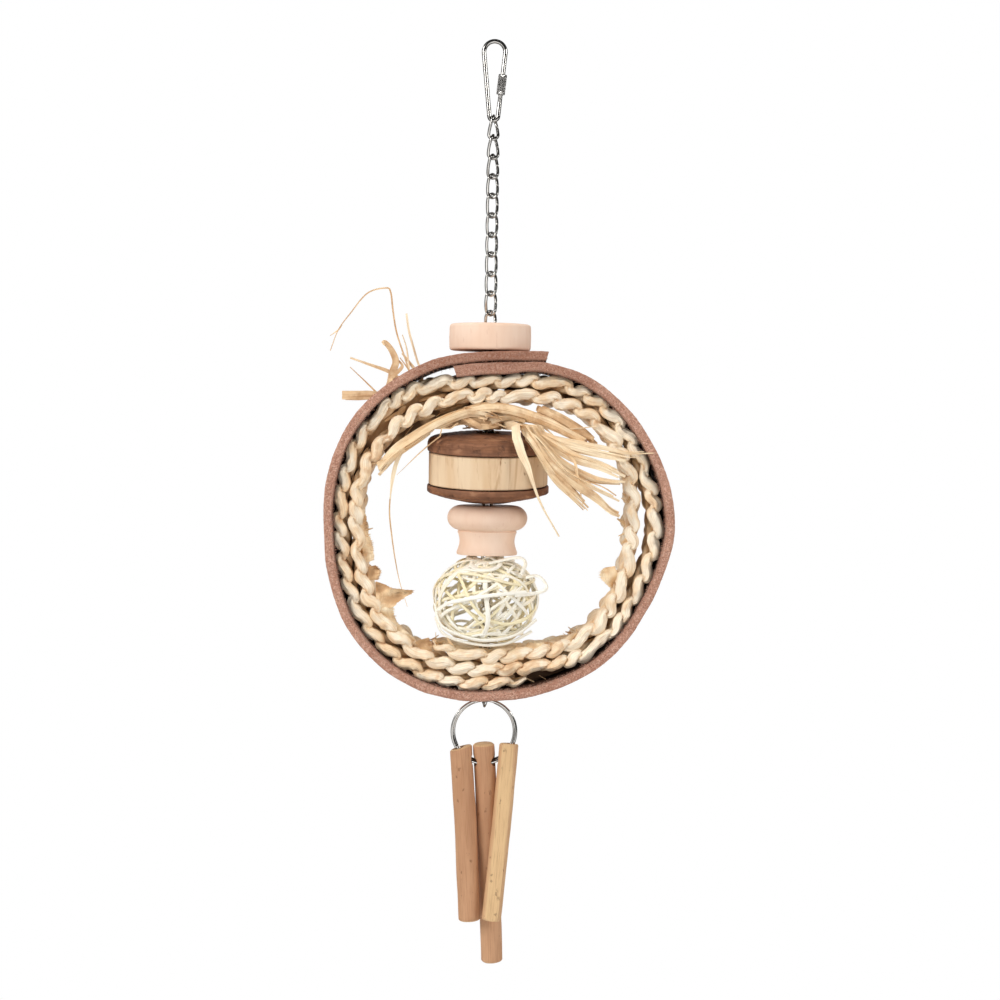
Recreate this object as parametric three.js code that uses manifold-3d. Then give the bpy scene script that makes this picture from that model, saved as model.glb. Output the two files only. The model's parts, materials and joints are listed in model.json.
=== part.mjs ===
// Hanging bird toy: a chain carries a leather hoop with a plaited leaf coil, a threaded wood stack,
// a vine ball and a split ring with three sticks. Millimetres, +Z up, seen from -Y.
// The origin is where the quick link bears on whatever it hangs from.
import * as THREE from 'three';
import { mergeVertices } from 'three/addons/utils/BufferGeometryUtils.js';
import Module from 'manifold-3d';

const wasm = await Module();
wasm.setup();

// Clearances
const touchGap = 0.3;
const boreClearance = 0.7;
const ringDrop = 0.8;

// Quick link: a pear of round wire, closed by a screw sleeve on its right leg
const linkWire = 2.0;
const pearLength = 36;
const pearTopRadius = 4.6;
const pearFootRadius = 1.85;
const pearMouthTop = -15;
const pearMouth = 3;
const sleeveLength = 8.6;
const sleeveWidth = 4.3;
const sleeveTop = -13.4;

// Twisted curb chain
const chainWire = 1.35;
const chainWidth = 5.6;
const chainPitch = 8.4;
const linkCount = 30;
const linkTwist = 90;
const straightFrom = 5;
const straightTo = 11;

// Split ring
const ringRadius = 13.35;
const ringWireRadial = 2.0;
const ringWireAxial = 1.0;
const ringPitch = 1.45;
const ringTurns = 1.9;

// Leather hoop: how far its outside wanders from the hoop's radius, by angle along the strip, up to
// where the strip steps in under its own start
const hoopRadius = 74.4;
const hoopShift = 5.2;
const leatherThickness = 4.2;
const leatherWidth = 35;
const leatherLayerGap = 0.5;
const outerEndAngle = 75;
const innerEndAngle = 467;
const stepInFrom = 420;
const stepInTo = 436;
const leatherWander = [
  [75, 1.4], [82, -0.2], [90, -1.2], [100, -0.9], [110, 0.2], [120, 0.8], [130, 1.5], [145, 2.1],
  [157, 1.6], [170, 0.6], [185, -0.3], [195, 0.5], [212, 2.8], [230, 3.8], [245, 3.1], [257, 1.7],
  [270, -0.2], [292, -1], [308, -1], [330, -2.5], [342, -2], [360, -0.5], [380, -1], [392, -1.5],
  [410, -1.4], [420, -1.6],
];

// Plaited leaf coil: how far its outside wanders inward from turns that lie against each other and the
// leather, by quarter turns from the bottom round by the left
const plaitThickness = 4.8;
const plaitWidth = 28;
const plaitEdge = 1.4;
const plaitWander = [
  [-0.12, 1.34], [0, 0.7], [0.15, -1.18], [0.3, -2.96], [0.45, -3.54], [0.6, -2.72], [0.75, -1.5],
  [0.9, -0.28], [1.05, -0.66], [1.2, -1.84], [1.35, -2.92], [1.5, -2.6], [1.64, -0.97], [1.72, 1.04],
  [1.8, 3.24], [1.89, 4.53], [2, 5.2], [2.15, 2.92], [2.3, 0.24], [2.45, -1.04], [2.6, -0.82],
  [2.75, -0.5], [2.9, -1.08], [3.05, -1.56], [3.2, -0.74], [3.35, -0.72], [3.5, -1.9], [3.65, -1.28],
  [3.76, 0.19], [3.86, 1.77], [4, 1.5], [4.15, -0.18], [4.3, -1.66], [4.45, -1.84], [4.6, -1.52],
  [4.75, -0.2], [4.9, 1.22], [5.05, 0.54], [5.2, -0.44], [5.35, 0.48], [5.5, 1.6], [5.65, 2.82],
  [5.8, 4.34], [5.9, 5.82], [6, 6.6], [6.1, 5.58], [6.22, 3.24], [6.37, 1.06], [6.52, -0.02],
  [6.67, 0.4], [6.82, 1.22], [6.97, 2.84], [7.12, 2.66], [7.27, 1.28], [7.42, -0.1], [7.57, -0.88],
  [7.72, 0.24], [7.86, 2.37], [8, 2.1], [8.15, 0.92], [8.32, -0.38],
];
const plaitStart = -0.12;
const plaitEnd = 8.32;

// Turned and cut wood
const discRadius = 17.6;
const discHeight = 11.4;
const discEdge = 0.9;
const sliceRadius = 26.2;
const sliceHeight = 13.8;
const sliceEdge = 0.5;
const stackTilt = 5;
const beadRadius = 17.2;
const beadHeight = 21.1;
const beadTopRadius = 11.5;
const beadFootRadius = 13.3;
const beadFootHeight = 2.1;
const beadNeckRadius = 12;
const beadNeckHeight = 6.6;
const beadCollarRadius = 13;
const beadCollarHeight = 10.6;

// Coconut shells, a hair wider than the slice between them
const shellOverhang = 0.1;
const shellThickness = 3.4;
const shellSag = 5;

// Vine ball
const ballDiameter = 49;
const vineWidth = 2.6;
const vineThickness = 1.5;
const poleRingAngle = 15;
const flatBand = { tilt: 9, turn: 20 };
const slantBands = { tilt: 40, turns: [50, 170, 290] };
const steepBandTurns = [15, 135, 255];

// Leaf bow: bundles run under the plait, left and right of the knot, and each fan strip runs through
// places to the right, to the front and down, in shares of the hoop's radius
const bowRoom = 12.3;
const bowKnotRise = 1.2;
const bowKnotRadius = 7;
const bowKnotHeight = 6;
const bowKnotEdge = 1;
const bundleThickness = 3.6;
const bundleWidth = 9;
const bundleTip = 0.75;
const bundleQuarters = [5.7, 5.5, 5.28];
const archThickness = 3;
const archQuarters = [6.2, 6.36, 6.55];
const archTip = 0.5;
const fanThickness = 1.4;
const fanWidth = 4.4;
const strandWidth = 3.1;
const fanTip = 0.5;
const strandTip = 0.3;
const fanRoutes = [
  [[0.296, 0.027, 0.054], [0.591, 0.027, 0.202], [0.867, 0.027, 0.403]],
  [[0.282, 0.054, 0.067], [0.538, 0.067, 0.282], [0.753, 0.054, 0.538]],
  [[0.269, 0.013, 0.04], [0.457, 0, 0.148], [0.645, 0.013, 0.323]],
];
const strandRoute = [[0.161, 0.06, 0.013], [0.296, 0.183, 0.161], [0.41, 0.196, 0.685]];

// Leaf tuft: each strip bends over the leather's edge at an angle on the hoop and runs on through
// places given by their angle and their share of the hoop's radius
const tuftThickness = 1.2;
const tuftRoot = { angle: 126, quarters: 1.6, inset: 2.2 };
const tuftStrips = [
  { width: 4.2, tip: 0.6, bend: 136, route: [[138, 1.048], [140.7, 1.19]] },
  { width: 1.4, tip: 0.6, bend: 132, route: [[133, 1.075], [133.2, 1.263]] },
  { width: 3, tip: 0.6, bend: 129, route: [[130, 1.075], [132, 1.304]] },
  { width: 4, tip: 0.6, bend: 124, route: [[123, 1.116], [123.5, 1.257], [126.5, 1.277]] },
  { width: 3, tip: 0.6, bend: 121, route: [[120.6, 1.048], [120.2, 1.151]] },
  { width: 1.8, tip: 0.6, bend: 118, route: [[116.5, 1.156], [114.8, 1.337]] },
  {
    width: 1.3,
    tip: 0.8,
    bend: 119,
    route: [[117, 1.237], [115.6, 1.505], [119.6, 1.546], [129.6, 1.478], [137.4, 1.358]],
  },
];

// Sticks on the ring: diameter, length, place on the ring from its bottom, lean and tip in the
// ring's plane and towards the back, and how far the hole lies below the top end
const stickHoleClearance = 0.5;
const sticks = {
  stick_left: { diameter: 9.7, length: 75.2, around: -46, lean: 3.8, back: -1, hole: 3.4, depth: 0 },
  stick_middle: { diameter: 9.2, length: 95.4, around: 1.5, lean: 3, back: 4, hole: 7.9, depth: 1.1 },
  stick_right: { diameter: 8.3, length: 75.3, around: 52, lean: -4.9, back: -4, hole: 3.4, depth: -1.1 },
};

// Colours and finishes
const finishes = {
  nickel: { color: 0xb9b8b4, roughness: 0.25, metalness: 1 },
  paleWood: { color: 0xe9c3a4, roughness: 0.6, metalness: 0 },
  pine: { color: 0xe3c69c, roughness: 0.65, metalness: 0 },
  shell: { color: 0x7b5238, roughness: 0.7, metalness: 0 },
  leather: { color: 0xb2826c, roughness: 0.85, metalness: 0 },
  leaf: { color: 0xe6c896, roughness: 0.75, metalness: 0 },
  vine: { color: 0xf6efd8, roughness: 0.7, metalness: 0 },
  bark: { color: 0xc99b74, roughness: 0.7, metalness: 0 },
};

const { degToRad, lerp } = THREE.MathUtils;
const fullTurn = 360;
const quartersPerTurn = 4;
const toy = new THREE.Group();

// Solid helpers

function toSolid(geometry) {
  const bare = geometry.clone();
  bare.deleteAttribute('normal');
  bare.deleteAttribute('uv');
  const merged = mergeVertices(bare, 1e-4);
  const vertProperties = new Float32Array(merged.attributes.position.array);
  const triVerts = new Uint32Array(merged.index.array);
  return new wasm.Manifold(new wasm.Mesh({ numProp: 3, vertProperties, triVerts }));
}

function toGeometry(solid) {
  const { numProp, vertProperties, triVerts } = solid.getMesh();
  const geometry = new THREE.BufferGeometry();
  const points = [];
  for (let i = 0; i < vertProperties.length; i += numProp) {
    points.push(vertProperties[i], vertProperties[i + 1], vertProperties[i + 2]);
  }
  geometry.setAttribute('position', new THREE.Float32BufferAttribute(points, 3));
  geometry.setIndex(Array.from(triVerts));
  return geometry;
}

function cut(geometry, ...tools) {
  return toGeometry(tools.reduce((solid, tool) => solid.subtract(toSolid(tool)), toSolid(geometry)));
}

function join(...geometries) {
  return toGeometry(geometries.map(toSolid).reduce((solid, next) => solid.add(next)));
}

function add(name, geometry, finish, parent = toy) {
  const mesh = new THREE.Mesh(geometry, new THREE.MeshStandardMaterial(finishes[finish]));
  mesh.name = name;
  parent.add(mesh);
  return mesh;
}

// One ring of a swept section: half sizes along the given up direction and across it.
function sectionRing(point, tangent, up, halfUp, halfAcross, sides) {
  const along = up.clone().addScaledVector(tangent, -up.dot(tangent)).normalize();
  const across = tangent.clone().cross(along);
  return Array.from({ length: sides }, (_, i) => {
    const angle = 2 * Math.PI * (i + 0.5) / sides;
    return point.clone()
      .addScaledVector(along, halfUp * Math.cos(angle))
      .addScaledVector(across, halfAcross * Math.sin(angle));
  });
}

// Rings joined side to side into a closed skin, which meets itself or has a lid at each end.
function loft(rings, meetsItself) {
  const sides = rings[0].length;
  const faces = [];
  const spans = meetsItself ? rings.length : rings.length - 1;
  for (let i = 0; i < spans; i++) {
    const next = (i + 1) % rings.length;
    for (let j = 0; j < sides; j++) {
      const k = (j + 1) % sides;
      faces.push(i * sides + j, i * sides + k, next * sides + k);
      faces.push(i * sides + j, next * sides + k, next * sides + j);
    }
  }
  const last = (rings.length - 1) * sides;
  for (let j = 1; j < sides - 1 && !meetsItself; j++) {
    faces.push(0, j + 1, j);
    faces.push(last, last + j, last + j + 1);
  }
  const corners = rings.flat().flatMap((point) => point.toArray());
  const geometry = new THREE.BufferGeometry();
  geometry.setAttribute('position', new THREE.Float32BufferAttribute(corners, 3));
  geometry.setIndex(faces);
  return geometry;
}

// A round wire through the given points, with the up direction of each point.
function wire(points, ups, radius, sides, meetsItself) {
  const count = points.length;
  const rings = points.map((point, i) => {
    const before = points[meetsItself ? (i + count - 1) % count : Math.max(i - 1, 0)];
    const after = points[meetsItself ? (i + 1) % count : Math.min(i + 1, count - 1)];
    const tangent = after.clone().sub(before).normalize();
    return sectionRing(point, tangent, ups[i], radius, radius, sides);
  });
  return loft(rings, meetsItself);
}

// A cylinder along Z, used for bores.
function bore(radius, bottom, top, sides = 20) {
  const geometry = new THREE.CylinderGeometry(radius, radius, top - bottom, sides);
  geometry.rotateX(Math.PI / 2);
  geometry.translate(0, 0, (bottom + top) / 2);
  return geometry;
}

// A turned piece: radius and height pairs round the Z axis, closed on themselves.
function turned(profile, segments = 28) {
  const points = [...profile, profile[0]].map(([radius, height]) => new THREE.Vector2(radius, height));
  const geometry = new THREE.LatheGeometry(points, segments);
  geometry.rotateX(Math.PI / 2);
  return geometry;
}

// A flat outline in X and Z, drawn out along Y about the middle plane.
function drawnOut(outline, width, edge) {
  const shape = new THREE.Shape(outline);
  const geometry = new THREE.ExtrudeGeometry(shape, {
    depth: width - 2 * edge,
    steps: 1,
    bevelEnabled: edge > 0,
    bevelThickness: edge,
    bevelSize: edge,
    bevelOffset: -edge,
    bevelSegments: 1,
  });
  geometry.translate(0, 0, edge - width / 2);
  geometry.rotateX(Math.PI / 2);
  return geometry;
}

const boreRadius = chainWidth / 2 + boreClearance;

// Quick link

const wireRadius = linkWire / 2;
const pearTop = wireRadius - pearTopRadius;
const pearFoot = linkWire - pearLength + wireRadius + pearFootRadius;
const pearLean = Math.asin((pearTopRadius - pearFootRadius) / (pearTop - pearFoot));
const legDirection = new THREE.Vector3(-Math.sin(pearLean), 0, -Math.cos(pearLean));
const legTop = new THREE.Vector3(
  pearTopRadius * Math.cos(pearLean),
  0,
  pearTop - pearTopRadius * Math.sin(pearLean),
);
const legPoint = (z) => legTop.clone().addScaledVector(legDirection, (legTop.z - z) / Math.cos(pearLean));

function pearArc(centre, radius, from, to, steps) {
  return Array.from({ length: steps + 1 }, (_, i) => {
    const angle = lerp(from, to, i / steps);
    return new THREE.Vector3(radius * Math.cos(angle), 0, centre + radius * Math.sin(angle));
  });
}

function quickLinkBody() {
  const points = [
    legPoint(pearMouthTop),
    ...pearArc(pearTop, pearTopRadius, -pearLean, Math.PI + pearLean, 12),
    ...pearArc(pearFoot, pearFootRadius, Math.PI + pearLean, 2 * Math.PI - pearLean, 8),
    legPoint(pearMouthTop - pearMouth),
  ];
  return wire(points, points.map(() => new THREE.Vector3(0, 1, 0)), wireRadius, 8, false);
}

function quickLinkSleeve() {
  const outside = bore(sleeveWidth / 2, -sleeveLength / 2, sleeveLength / 2, 6);
  const geometry = cut(outside, bore(wireRadius + touchGap, -sleeveLength, sleeveLength, 12));
  geometry.rotateY(pearLean);
  const middle = legPoint(sleeveTop).addScaledVector(legDirection, sleeveLength / 2);
  geometry.translate(middle.x, middle.y, middle.z);
  return geometry;
}

add('quick_link_body', quickLinkBody(), 'nickel');
add('quick_link_sleeve', quickLinkSleeve(), 'nickel');

// Chain: seat k is where link k+1 bears on link k, and seat 0 is the quick link's foot

const seatZ = (k) => 2 * linkWire - pearLength + touchGap / 2 - k * chainPitch;
const linkSpread = chainWidth / 2 - chainWire / 2;
const linkReach = (chainPitch + touchGap + chainWire) / 2;

// The first link stands square to the quick link's foot, the last one square to the split ring.
function linkTurn(k) {
  const early = Math.max(0, (straightFrom - k) / (straightFrom - 1));
  const late = Math.max(0, (k - straightTo) / (linkCount - straightTo));
  return degToRad(linkTwist / 2 * (early - late));
}

function chainLink(turn) {
  const flat = [];
  const straight = linkReach - linkSpread;
  const arcSteps = 6;
  for (const end of [1, -1]) {
    for (let i = 0; i <= arcSteps; i++) {
      const angle = Math.PI * i / arcSteps;
      flat.push([end * linkSpread * Math.cos(angle), end * (straight + linkSpread * Math.sin(angle))]);
    }
    flat.push([-end * linkSpread, 0]);
  }
  const twist = (z) => turn + degToRad(linkTwist / 2) * (z / linkReach);
  const points = flat.map(([x, z]) => new THREE.Vector3(x * Math.cos(twist(z)), x * Math.sin(twist(z)), z));
  const ups = flat.map(([, z]) => new THREE.Vector3(-Math.sin(twist(z)), Math.cos(twist(z)), 0));
  return wire(points, ups, chainWire / 2, 5, true);
}

for (let k = 1; k <= linkCount; k++) {
  const link = add(`chain_link_${String(k).padStart(2, '0')}`, chainLink(linkTurn(k)), 'nickel');
  link.position.z = (seatZ(k - 1) + seatZ(k)) / 2;
}

// Split ring: two turns that bear across the last link's end

const ringHalfAxial = (ringPitch + ringWireAxial) / 2;
const ringHalfWidth = (ringPitch * ringTurns + ringWireAxial) / 2;
const linkInside = linkSpread - chainWire / 2;
const ringRise = linkInside - Math.sqrt(linkInside ** 2 - ringHalfAxial ** 2);
const ringInsideTop = seatZ(linkCount) + ringRise + touchGap / 2;
const ringCentre = ringInsideTop + ringWireRadial / 2 - ringRadius;
const ringTop = ringInsideTop + ringWireRadial;

function splitRing() {
  const stepsPerTurn = 24;
  const steps = Math.round(stepsPerTurn * ringTurns);
  const start = Math.PI / 2 + Math.PI * (2 - ringTurns);
  const centres = [];
  const rings = [];
  for (let i = 0; i <= steps; i++) {
    const angle = start + 2 * Math.PI * ringTurns * i / steps;
    const out = new THREE.Vector3(Math.cos(angle), 0, Math.sin(angle));
    const centre = out.clone().multiplyScalar(ringRadius);
    centre.y = ringPitch * (i / stepsPerTurn - ringTurns / 2);
    const tangent = new THREE.Vector3(-Math.sin(angle), 0, Math.cos(angle));
    centres.push(centre);
    rings.push(sectionRing(centre, tangent, out, ringWireRadial / 2, ringWireAxial / 2, 6));
  }
  const gap = leastGap(centres, stepsPerTurn / 2) - ringWireAxial;
  console.log(`split_ring least gap to itself ${gap.toFixed(2)} mm`);
  return loft(rings, false);
}

// Least distance between points that lie more than the given number of steps apart.
function leastGap(points, apart) {
  let least = Infinity;
  for (let i = 0; i < points.length; i++) {
    for (let j = i + apart; j < points.length; j++) {
      least = Math.min(least, points[i].distanceTo(points[j]));
    }
  }
  return least;
}

add('split_ring', splitRing(), 'nickel').position.z = ringCentre;

// Leather hoop, carried by the ring

const hoopBottom = ringTop + ringDrop;
const hoopCentre = hoopBottom + hoopRadius;
const chainBore = bore(boreRadius, hoopBottom - hoopRadius, hoopCentre + 2 * hoopRadius);

const onHoop = (radius, degrees) => new THREE.Vector2(
  hoopShift + radius * Math.cos(degToRad(degrees)),
  hoopCentre + radius * Math.sin(degToRad(degrees)),
);

// Both edges of a band that follows a radius rule, as one outline.
function bandOutline(radiusAt, from, to, steps, thickness) {
  const angles = Array.from({ length: steps + 1 }, (_, i) => lerp(from, to, i / steps));
  const outside = angles.map((angle) => onHoop(radiusAt(angle) + thickness / 2, angle));
  const inside = angles.map((angle) => onHoop(radiusAt(angle) - thickness / 2, angle));
  return [...outside, ...inside.reverse()];
}

// A smooth reading between the places of a table.
function reading(table, at) {
  const last = table.length - 1;
  const slope = (i) => {
    const [[fromPlace, from], [toPlace, to]] = [table[Math.max(i - 1, 0)], table[Math.min(i + 1, last)]];
    return (to - from) / (toPlace - fromPlace);
  };
  const found = table.findIndex(([place]) => place > at);
  const i = found < 0 ? last - 1 : Math.max(found - 1, 0);
  const [[fromPlace, from], [toPlace, to]] = [table[i], table[i + 1]];
  const span = toPlace - fromPlace;
  const t = THREE.MathUtils.clamp((at - fromPlace) / span, 0, 1);
  const ease = t * t * (3 - 2 * t);
  const pull = slope(i) * t * (1 - t) ** 2 - slope(i + 1) * t * t * (1 - t);
  return lerp(from, to, ease) + span * pull;
}

function leatherRadius(angle) {
  const outer = reading(leatherWander, angle);
  const inner = reading(leatherWander, angle - fullTurn) - leatherThickness - leatherLayerGap;
  const stepIn = THREE.MathUtils.smoothstep(angle, stepInFrom, stepInTo);
  return hoopRadius + lerp(outer, inner, stepIn) - leatherThickness / 2;
}

const leatherOutline = bandOutline(leatherRadius, outerEndAngle, innerEndAngle, 84, leatherThickness);

add('leather_hoop', cut(drawnOut(leatherOutline, leatherWidth, 0), chainBore), 'leather');

// Plaited leaf coil

const bottomAngle = 0.75 * fullTurn;
const quarter = fullTurn / quartersPerTurn;
const plaitAngle = (quarters) => bottomAngle - quarter * quarters;

function plaitRadius(quarters) {
  const turnsIn = plaitThickness * (0.5 + quarters / quartersPerTurn);
  return hoopRadius - leatherThickness - turnsIn - reading(plaitWander, quarters);
}

function plaitCoil() {
  const radiusAt = (angle) => plaitRadius((bottomAngle - angle) / quarter);
  const steps = 120;
  const outline = bandOutline(radiusAt, plaitAngle(plaitEnd), plaitAngle(plaitStart), steps, plaitThickness);
  const fine = 3 * steps;
  const centres = Array.from({ length: fine + 1 }, (_, i) => {
    const quarters = lerp(plaitStart, plaitEnd, i / fine);
    return onHoop(plaitRadius(quarters), plaitAngle(quarters));
  });
  const halfTurn = Math.round(fine * 2 / (plaitEnd - plaitStart));
  const gap = leastGap(centres, halfTurn) - plaitThickness;
  console.log(`plait_coil least gap to itself ${gap.toFixed(2)} mm`);
  return cut(drawnOut(outline, plaitWidth, plaitEdge), chainBore);
}

add('plait_coil', plaitCoil(), 'leaf');

// Shells and wood slice, one leaning stack under the room for the bow

const bottomRow = plaitRadius(8);
const topRow = plaitRadius(6);
const capTop = hoopCentre + topRow - plaitThickness / 2 - bowRoom;
const stack = new THREE.Group();
stack.rotation.x = degToRad(stackTilt);
toy.add(stack);

const shellRadius = sliceRadius + shellOverhang;
const halfSlice = sliceHeight / 2;
const stackReach = halfSlice + touchGap + shellThickness + shellSag;
const stackBore = boreRadius + stackReach * Math.sin(degToRad(stackTilt));

function woodSlice() {
  const edge = sliceRadius - sliceEdge;
  return turned([
    [stackBore, -halfSlice], [edge, -halfSlice], [sliceRadius, sliceEdge - halfSlice],
    [sliceRadius, halfSlice - sliceEdge], [edge, halfSlice], [stackBore, halfSlice],
  ], 32);
}

// A domed shell whose edge lies on the slice, up or down.
function coconutShell(direction) {
  const steps = 4;
  const radii = Array.from({ length: steps + 1 }, (_, i) => lerp(shellRadius, stackBore, i / steps));
  const dome = (radius) => halfSlice + touchGap + shellSag * (1 - (radius / shellRadius) ** 2);
  const outside = radii.map((radius) => [radius, direction * (dome(radius) + shellThickness)]);
  const inside = radii.map((radius) => [radius, direction * dome(radius)]);
  const profile = [...outside, ...inside.reverse()];
  return turned(direction > 0 ? profile : profile.reverse());
}

const cup = add('coconut_cup', coconutShell(-1), 'shell', stack);
add('wood_slice', woodSlice(), 'pine', stack);
const cap = add('coconut_cap', coconutShell(1), 'shell', stack);
stack.updateMatrixWorld(true);
stack.position.z = capTop - new THREE.Box3().setFromObject(cap, true).max.z;
stack.updateMatrixWorld(true);

// Turned bead under the stack

const cupBottom = new THREE.Box3().setFromObject(cup, true).min.z;
const beadBottom = cupBottom - touchGap - beadHeight;

function turnedBead() {
  const neck = new THREE.QuadraticBezierCurve(
    new THREE.Vector2(beadFootRadius, beadFootHeight),
    new THREE.Vector2(2 * beadNeckRadius - (beadFootRadius + beadCollarRadius) / 2, beadNeckHeight),
    new THREE.Vector2(beadCollarRadius - touchGap, beadCollarHeight),
  );
  const bulge = new THREE.EllipseCurve(
    beadTopRadius,
    (beadCollarHeight + beadHeight) / 2,
    beadRadius - beadTopRadius,
    (beadHeight - beadCollarHeight) / 2,
    -Math.acos((beadCollarRadius - beadTopRadius) / (beadRadius - beadTopRadius)),
    Math.PI / 2,
  );
  const outside = [...neck.getPoints(5), ...bulge.getPoints(8)].map((p) => [p.x, p.y]);
  const foot = [[boreRadius, 0], [beadFootRadius - 2 * touchGap, 0]];
  return turned([...foot, ...outside, [boreRadius, beadHeight]]);
}

add('turned_bead', turnedBead(), 'paleWood').position.z = beadBottom;

// Vine ball, between the plait's inner row and the bead

const poleRadius = ballDiameter / 2 * Math.sin(degToRad(poleRingAngle)) + vineThickness / 2;
const rowInside = bottomRow - plaitThickness / 2;
const ballBottom = hoopCentre - Math.sqrt(rowInside ** 2 - (hoopShift + poleRadius) ** 2) + touchGap;
const ballTop = beadBottom - touchGap;
const ballHeight = ballTop - ballBottom;

// A band of the given tilt and turn on the ball's skin, as a closed ring.
function vineBand(radius, height, width, tilt, turn) {
  const inside = radius - vineThickness;
  const low = height - width / 2;
  const high = height + width / 2;
  const band = turned([[inside, low], [radius, low], [radius, high], [inside, high]], 16);
  band.rotateX(degToRad(tilt));
  band.rotateZ(degToRad(turn));
  return band;
}

// The steep bands' edges meet the pole rings in the middle of their wall.
function vineBall() {
  const radius = ballDiameter / 2;
  const poleHeight = radius * Math.cos(degToRad(poleRingAngle)) - vineWidth / 2;
  const edge = new THREE.Vector2(radius - vineThickness, vineWidth / 2);
  const fromPole = Math.asin((poleRadius - vineThickness / 2) / edge.length()) + edge.angle();
  const steepTilt = 90 - THREE.MathUtils.radToDeg(fromPole);
  const bands = [
    vineBand(poleRadius, poleHeight, vineWidth, 0, 0),
    vineBand(poleRadius, -poleHeight, vineWidth, 0, 0),
    vineBand(radius, 0, vineWidth, flatBand.tilt, flatBand.turn),
    ...slantBands.turns.map((turn) => vineBand(radius, 0, vineWidth, slantBands.tilt, turn)),
    ...steepBandTurns.map((turn) => vineBand(radius, 0, vineWidth, steepTilt, turn)),
  ];
  const geometry = join(...bands);
  geometry.computeBoundingBox();
  const { min, max } = geometry.boundingBox;
  geometry.translate(0, 0, -(min.z + max.z) / 2);
  geometry.scale(1, 1, ballHeight / (max.z - min.z));
  return geometry;
}

add('vine_ball', vineBall(), 'vine').position.z = (ballBottom + ballTop) / 2;

// Leaf bow round the chain, between the stack and the plait's inner row

const knotMiddle = capTop + bowKnotRise + bowKnotHeight / 2;

// A flat strip of leaf through the given points, drawn in towards its tip.
function leafStrip(points, width, thickness, up, tip) {
  const curve = new THREE.CatmullRomCurve3(points.map((p) => new THREE.Vector3(...p)));
  const steps = 2 * (points.length - 1) + 1;
  const rings = Array.from({ length: steps + 1 }, (_, i) => {
    const size = lerp(1, tip, (i / steps) ** 2);
    const half = [thickness / 2 * size, width / 2 * size];
    return sectionRing(curve.getPoint(i / steps), curve.getTangent(i / steps), up, ...half, 4);
  });
  return loft(rings, false);
}

function leafBow() {
  const knot = turned([
    [boreRadius, -bowKnotHeight / 2], [bowKnotRadius - bowKnotEdge, -bowKnotHeight / 2],
    [bowKnotRadius, 0],
    [bowKnotRadius - bowKnotEdge, bowKnotHeight / 2], [boreRadius, bowKnotHeight / 2],
  ], 18);
  knot.translate(0, 0, knotMiddle);
  const inKnot = 0.7 * bowKnotRadius;
  const underPlait = (side, quarterTurns, thickness, tip) => {
    const inset = plaitThickness / 2 + 2 * touchGap + thickness / 2;
    const route = quarterTurns.map((quarters) => {
      const place = onHoop(plaitRadius(quarters) - inset, plaitAngle(quarters));
      return [place.x, -bundleWidth / 2, place.y];
    });
    const start = [side * inKnot, -bundleWidth / 3, knotMiddle];
    const up = new THREE.Vector3(-0.5 * side, 0, 1);
    return leafStrip([start, ...route], bundleWidth, thickness, up, tip);
  };
  const bundle = underPlait(-1, bundleQuarters, bundleThickness, bundleTip);
  const arch = underPlait(1, archQuarters, archThickness, archTip);
  const fanStart = [inKnot, -inKnot / 2, knotMiddle];
  const fanUp = new THREE.Vector3(0, 0, 1);
  const frontOfPlait = -plaitWidth / 2 - fanThickness;
  const strip = (route, width, tip) => {
    const places = route.map(([right, front, down]) => [
      hoopRadius * right,
      frontOfPlait - hoopRadius * front,
      knotMiddle - hoopRadius * down,
    ]);
    return leafStrip([fanStart, ...places], width, fanThickness, fanUp, tip);
  };
  const fan = fanRoutes.map((route) => strip(route, fanWidth, fanTip));
  fan.push(strip(strandRoute, strandWidth, strandTip));
  return join(knot, bundle, arch, ...fan);
}

add('leaf_bow', leafBow(), 'leaf');

// Leaf tuft: loose ends that come out behind the hoop at its upper left

function leafTuft() {
  const behindPlait = plaitWidth / 2 + touchGap + tuftRoot.inset;
  const behindLeather = leatherWidth / 2 + touchGap + tuftThickness;
  const place = (degrees, radius, y) => {
    const spot = onHoop(radius, degrees);
    return [spot.x, y, spot.y];
  };
  const root = place(tuftRoot.angle, plaitRadius(tuftRoot.quarters), behindPlait);
  const up = new THREE.Vector3(0.2, 1, 0.2);
  const strips = tuftStrips.map(({ width, tip, bend, route }) => {
    const over = place(bend, hoopRadius - leatherThickness, behindLeather);
    const rest = route.map(([degrees, share]) => place(degrees, hoopRadius * share, behindLeather));
    return leafStrip([root, over, ...rest], width, tuftThickness, up, tip);
  });
  return join(...strips);
}

add('leaf_tuft', leafTuft(), 'leaf');

// Top disc on the hoop

const discBottom = Math.max(...leatherOutline.map((point) => point.y)) + touchGap;

function topDisc() {
  const edge = discRadius - discEdge;
  return turned([
    [boreRadius, 0], [edge, 0], [discRadius, discEdge],
    [discRadius, discHeight - discEdge], [edge, discHeight], [boreRadius, discHeight],
  ]);
}

add('top_disc', topDisc(), 'paleWood').position.z = discBottom;

// Sticks, each with a hole that follows the ring

function stickOnRing({ diameter, length, around, lean, back, hole, depth }) {
  const angle = degToRad(around - 90);
  const radius = diameter / 2;
  const stick = new THREE.CylinderGeometry(radius, radius, length, 14);
  stick.rotateX(Math.PI / 2);
  stick.translate(0, depth, hole - length / 2);
  stick.rotateX(degToRad(back));
  stick.rotateY(degToRad(-lean));
  stick.translate(ringRadius * Math.cos(angle), 0, ringRadius * Math.sin(angle));
  const channel = new THREE.TorusGeometry(ringRadius, ringHalfWidth + stickHoleClearance, 8, 40);
  channel.rotateX(Math.PI / 2);
  return cut(stick, channel);
}

for (const [name, size] of Object.entries(sticks)) {
  add(name, stickOnRing(size), 'bark').position.z = ringCentre;
}

export default toy;
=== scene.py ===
import bmesh
import bpy
import json
import math
import numpy as np
from mathutils import Matrix, Vector, noise


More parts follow.
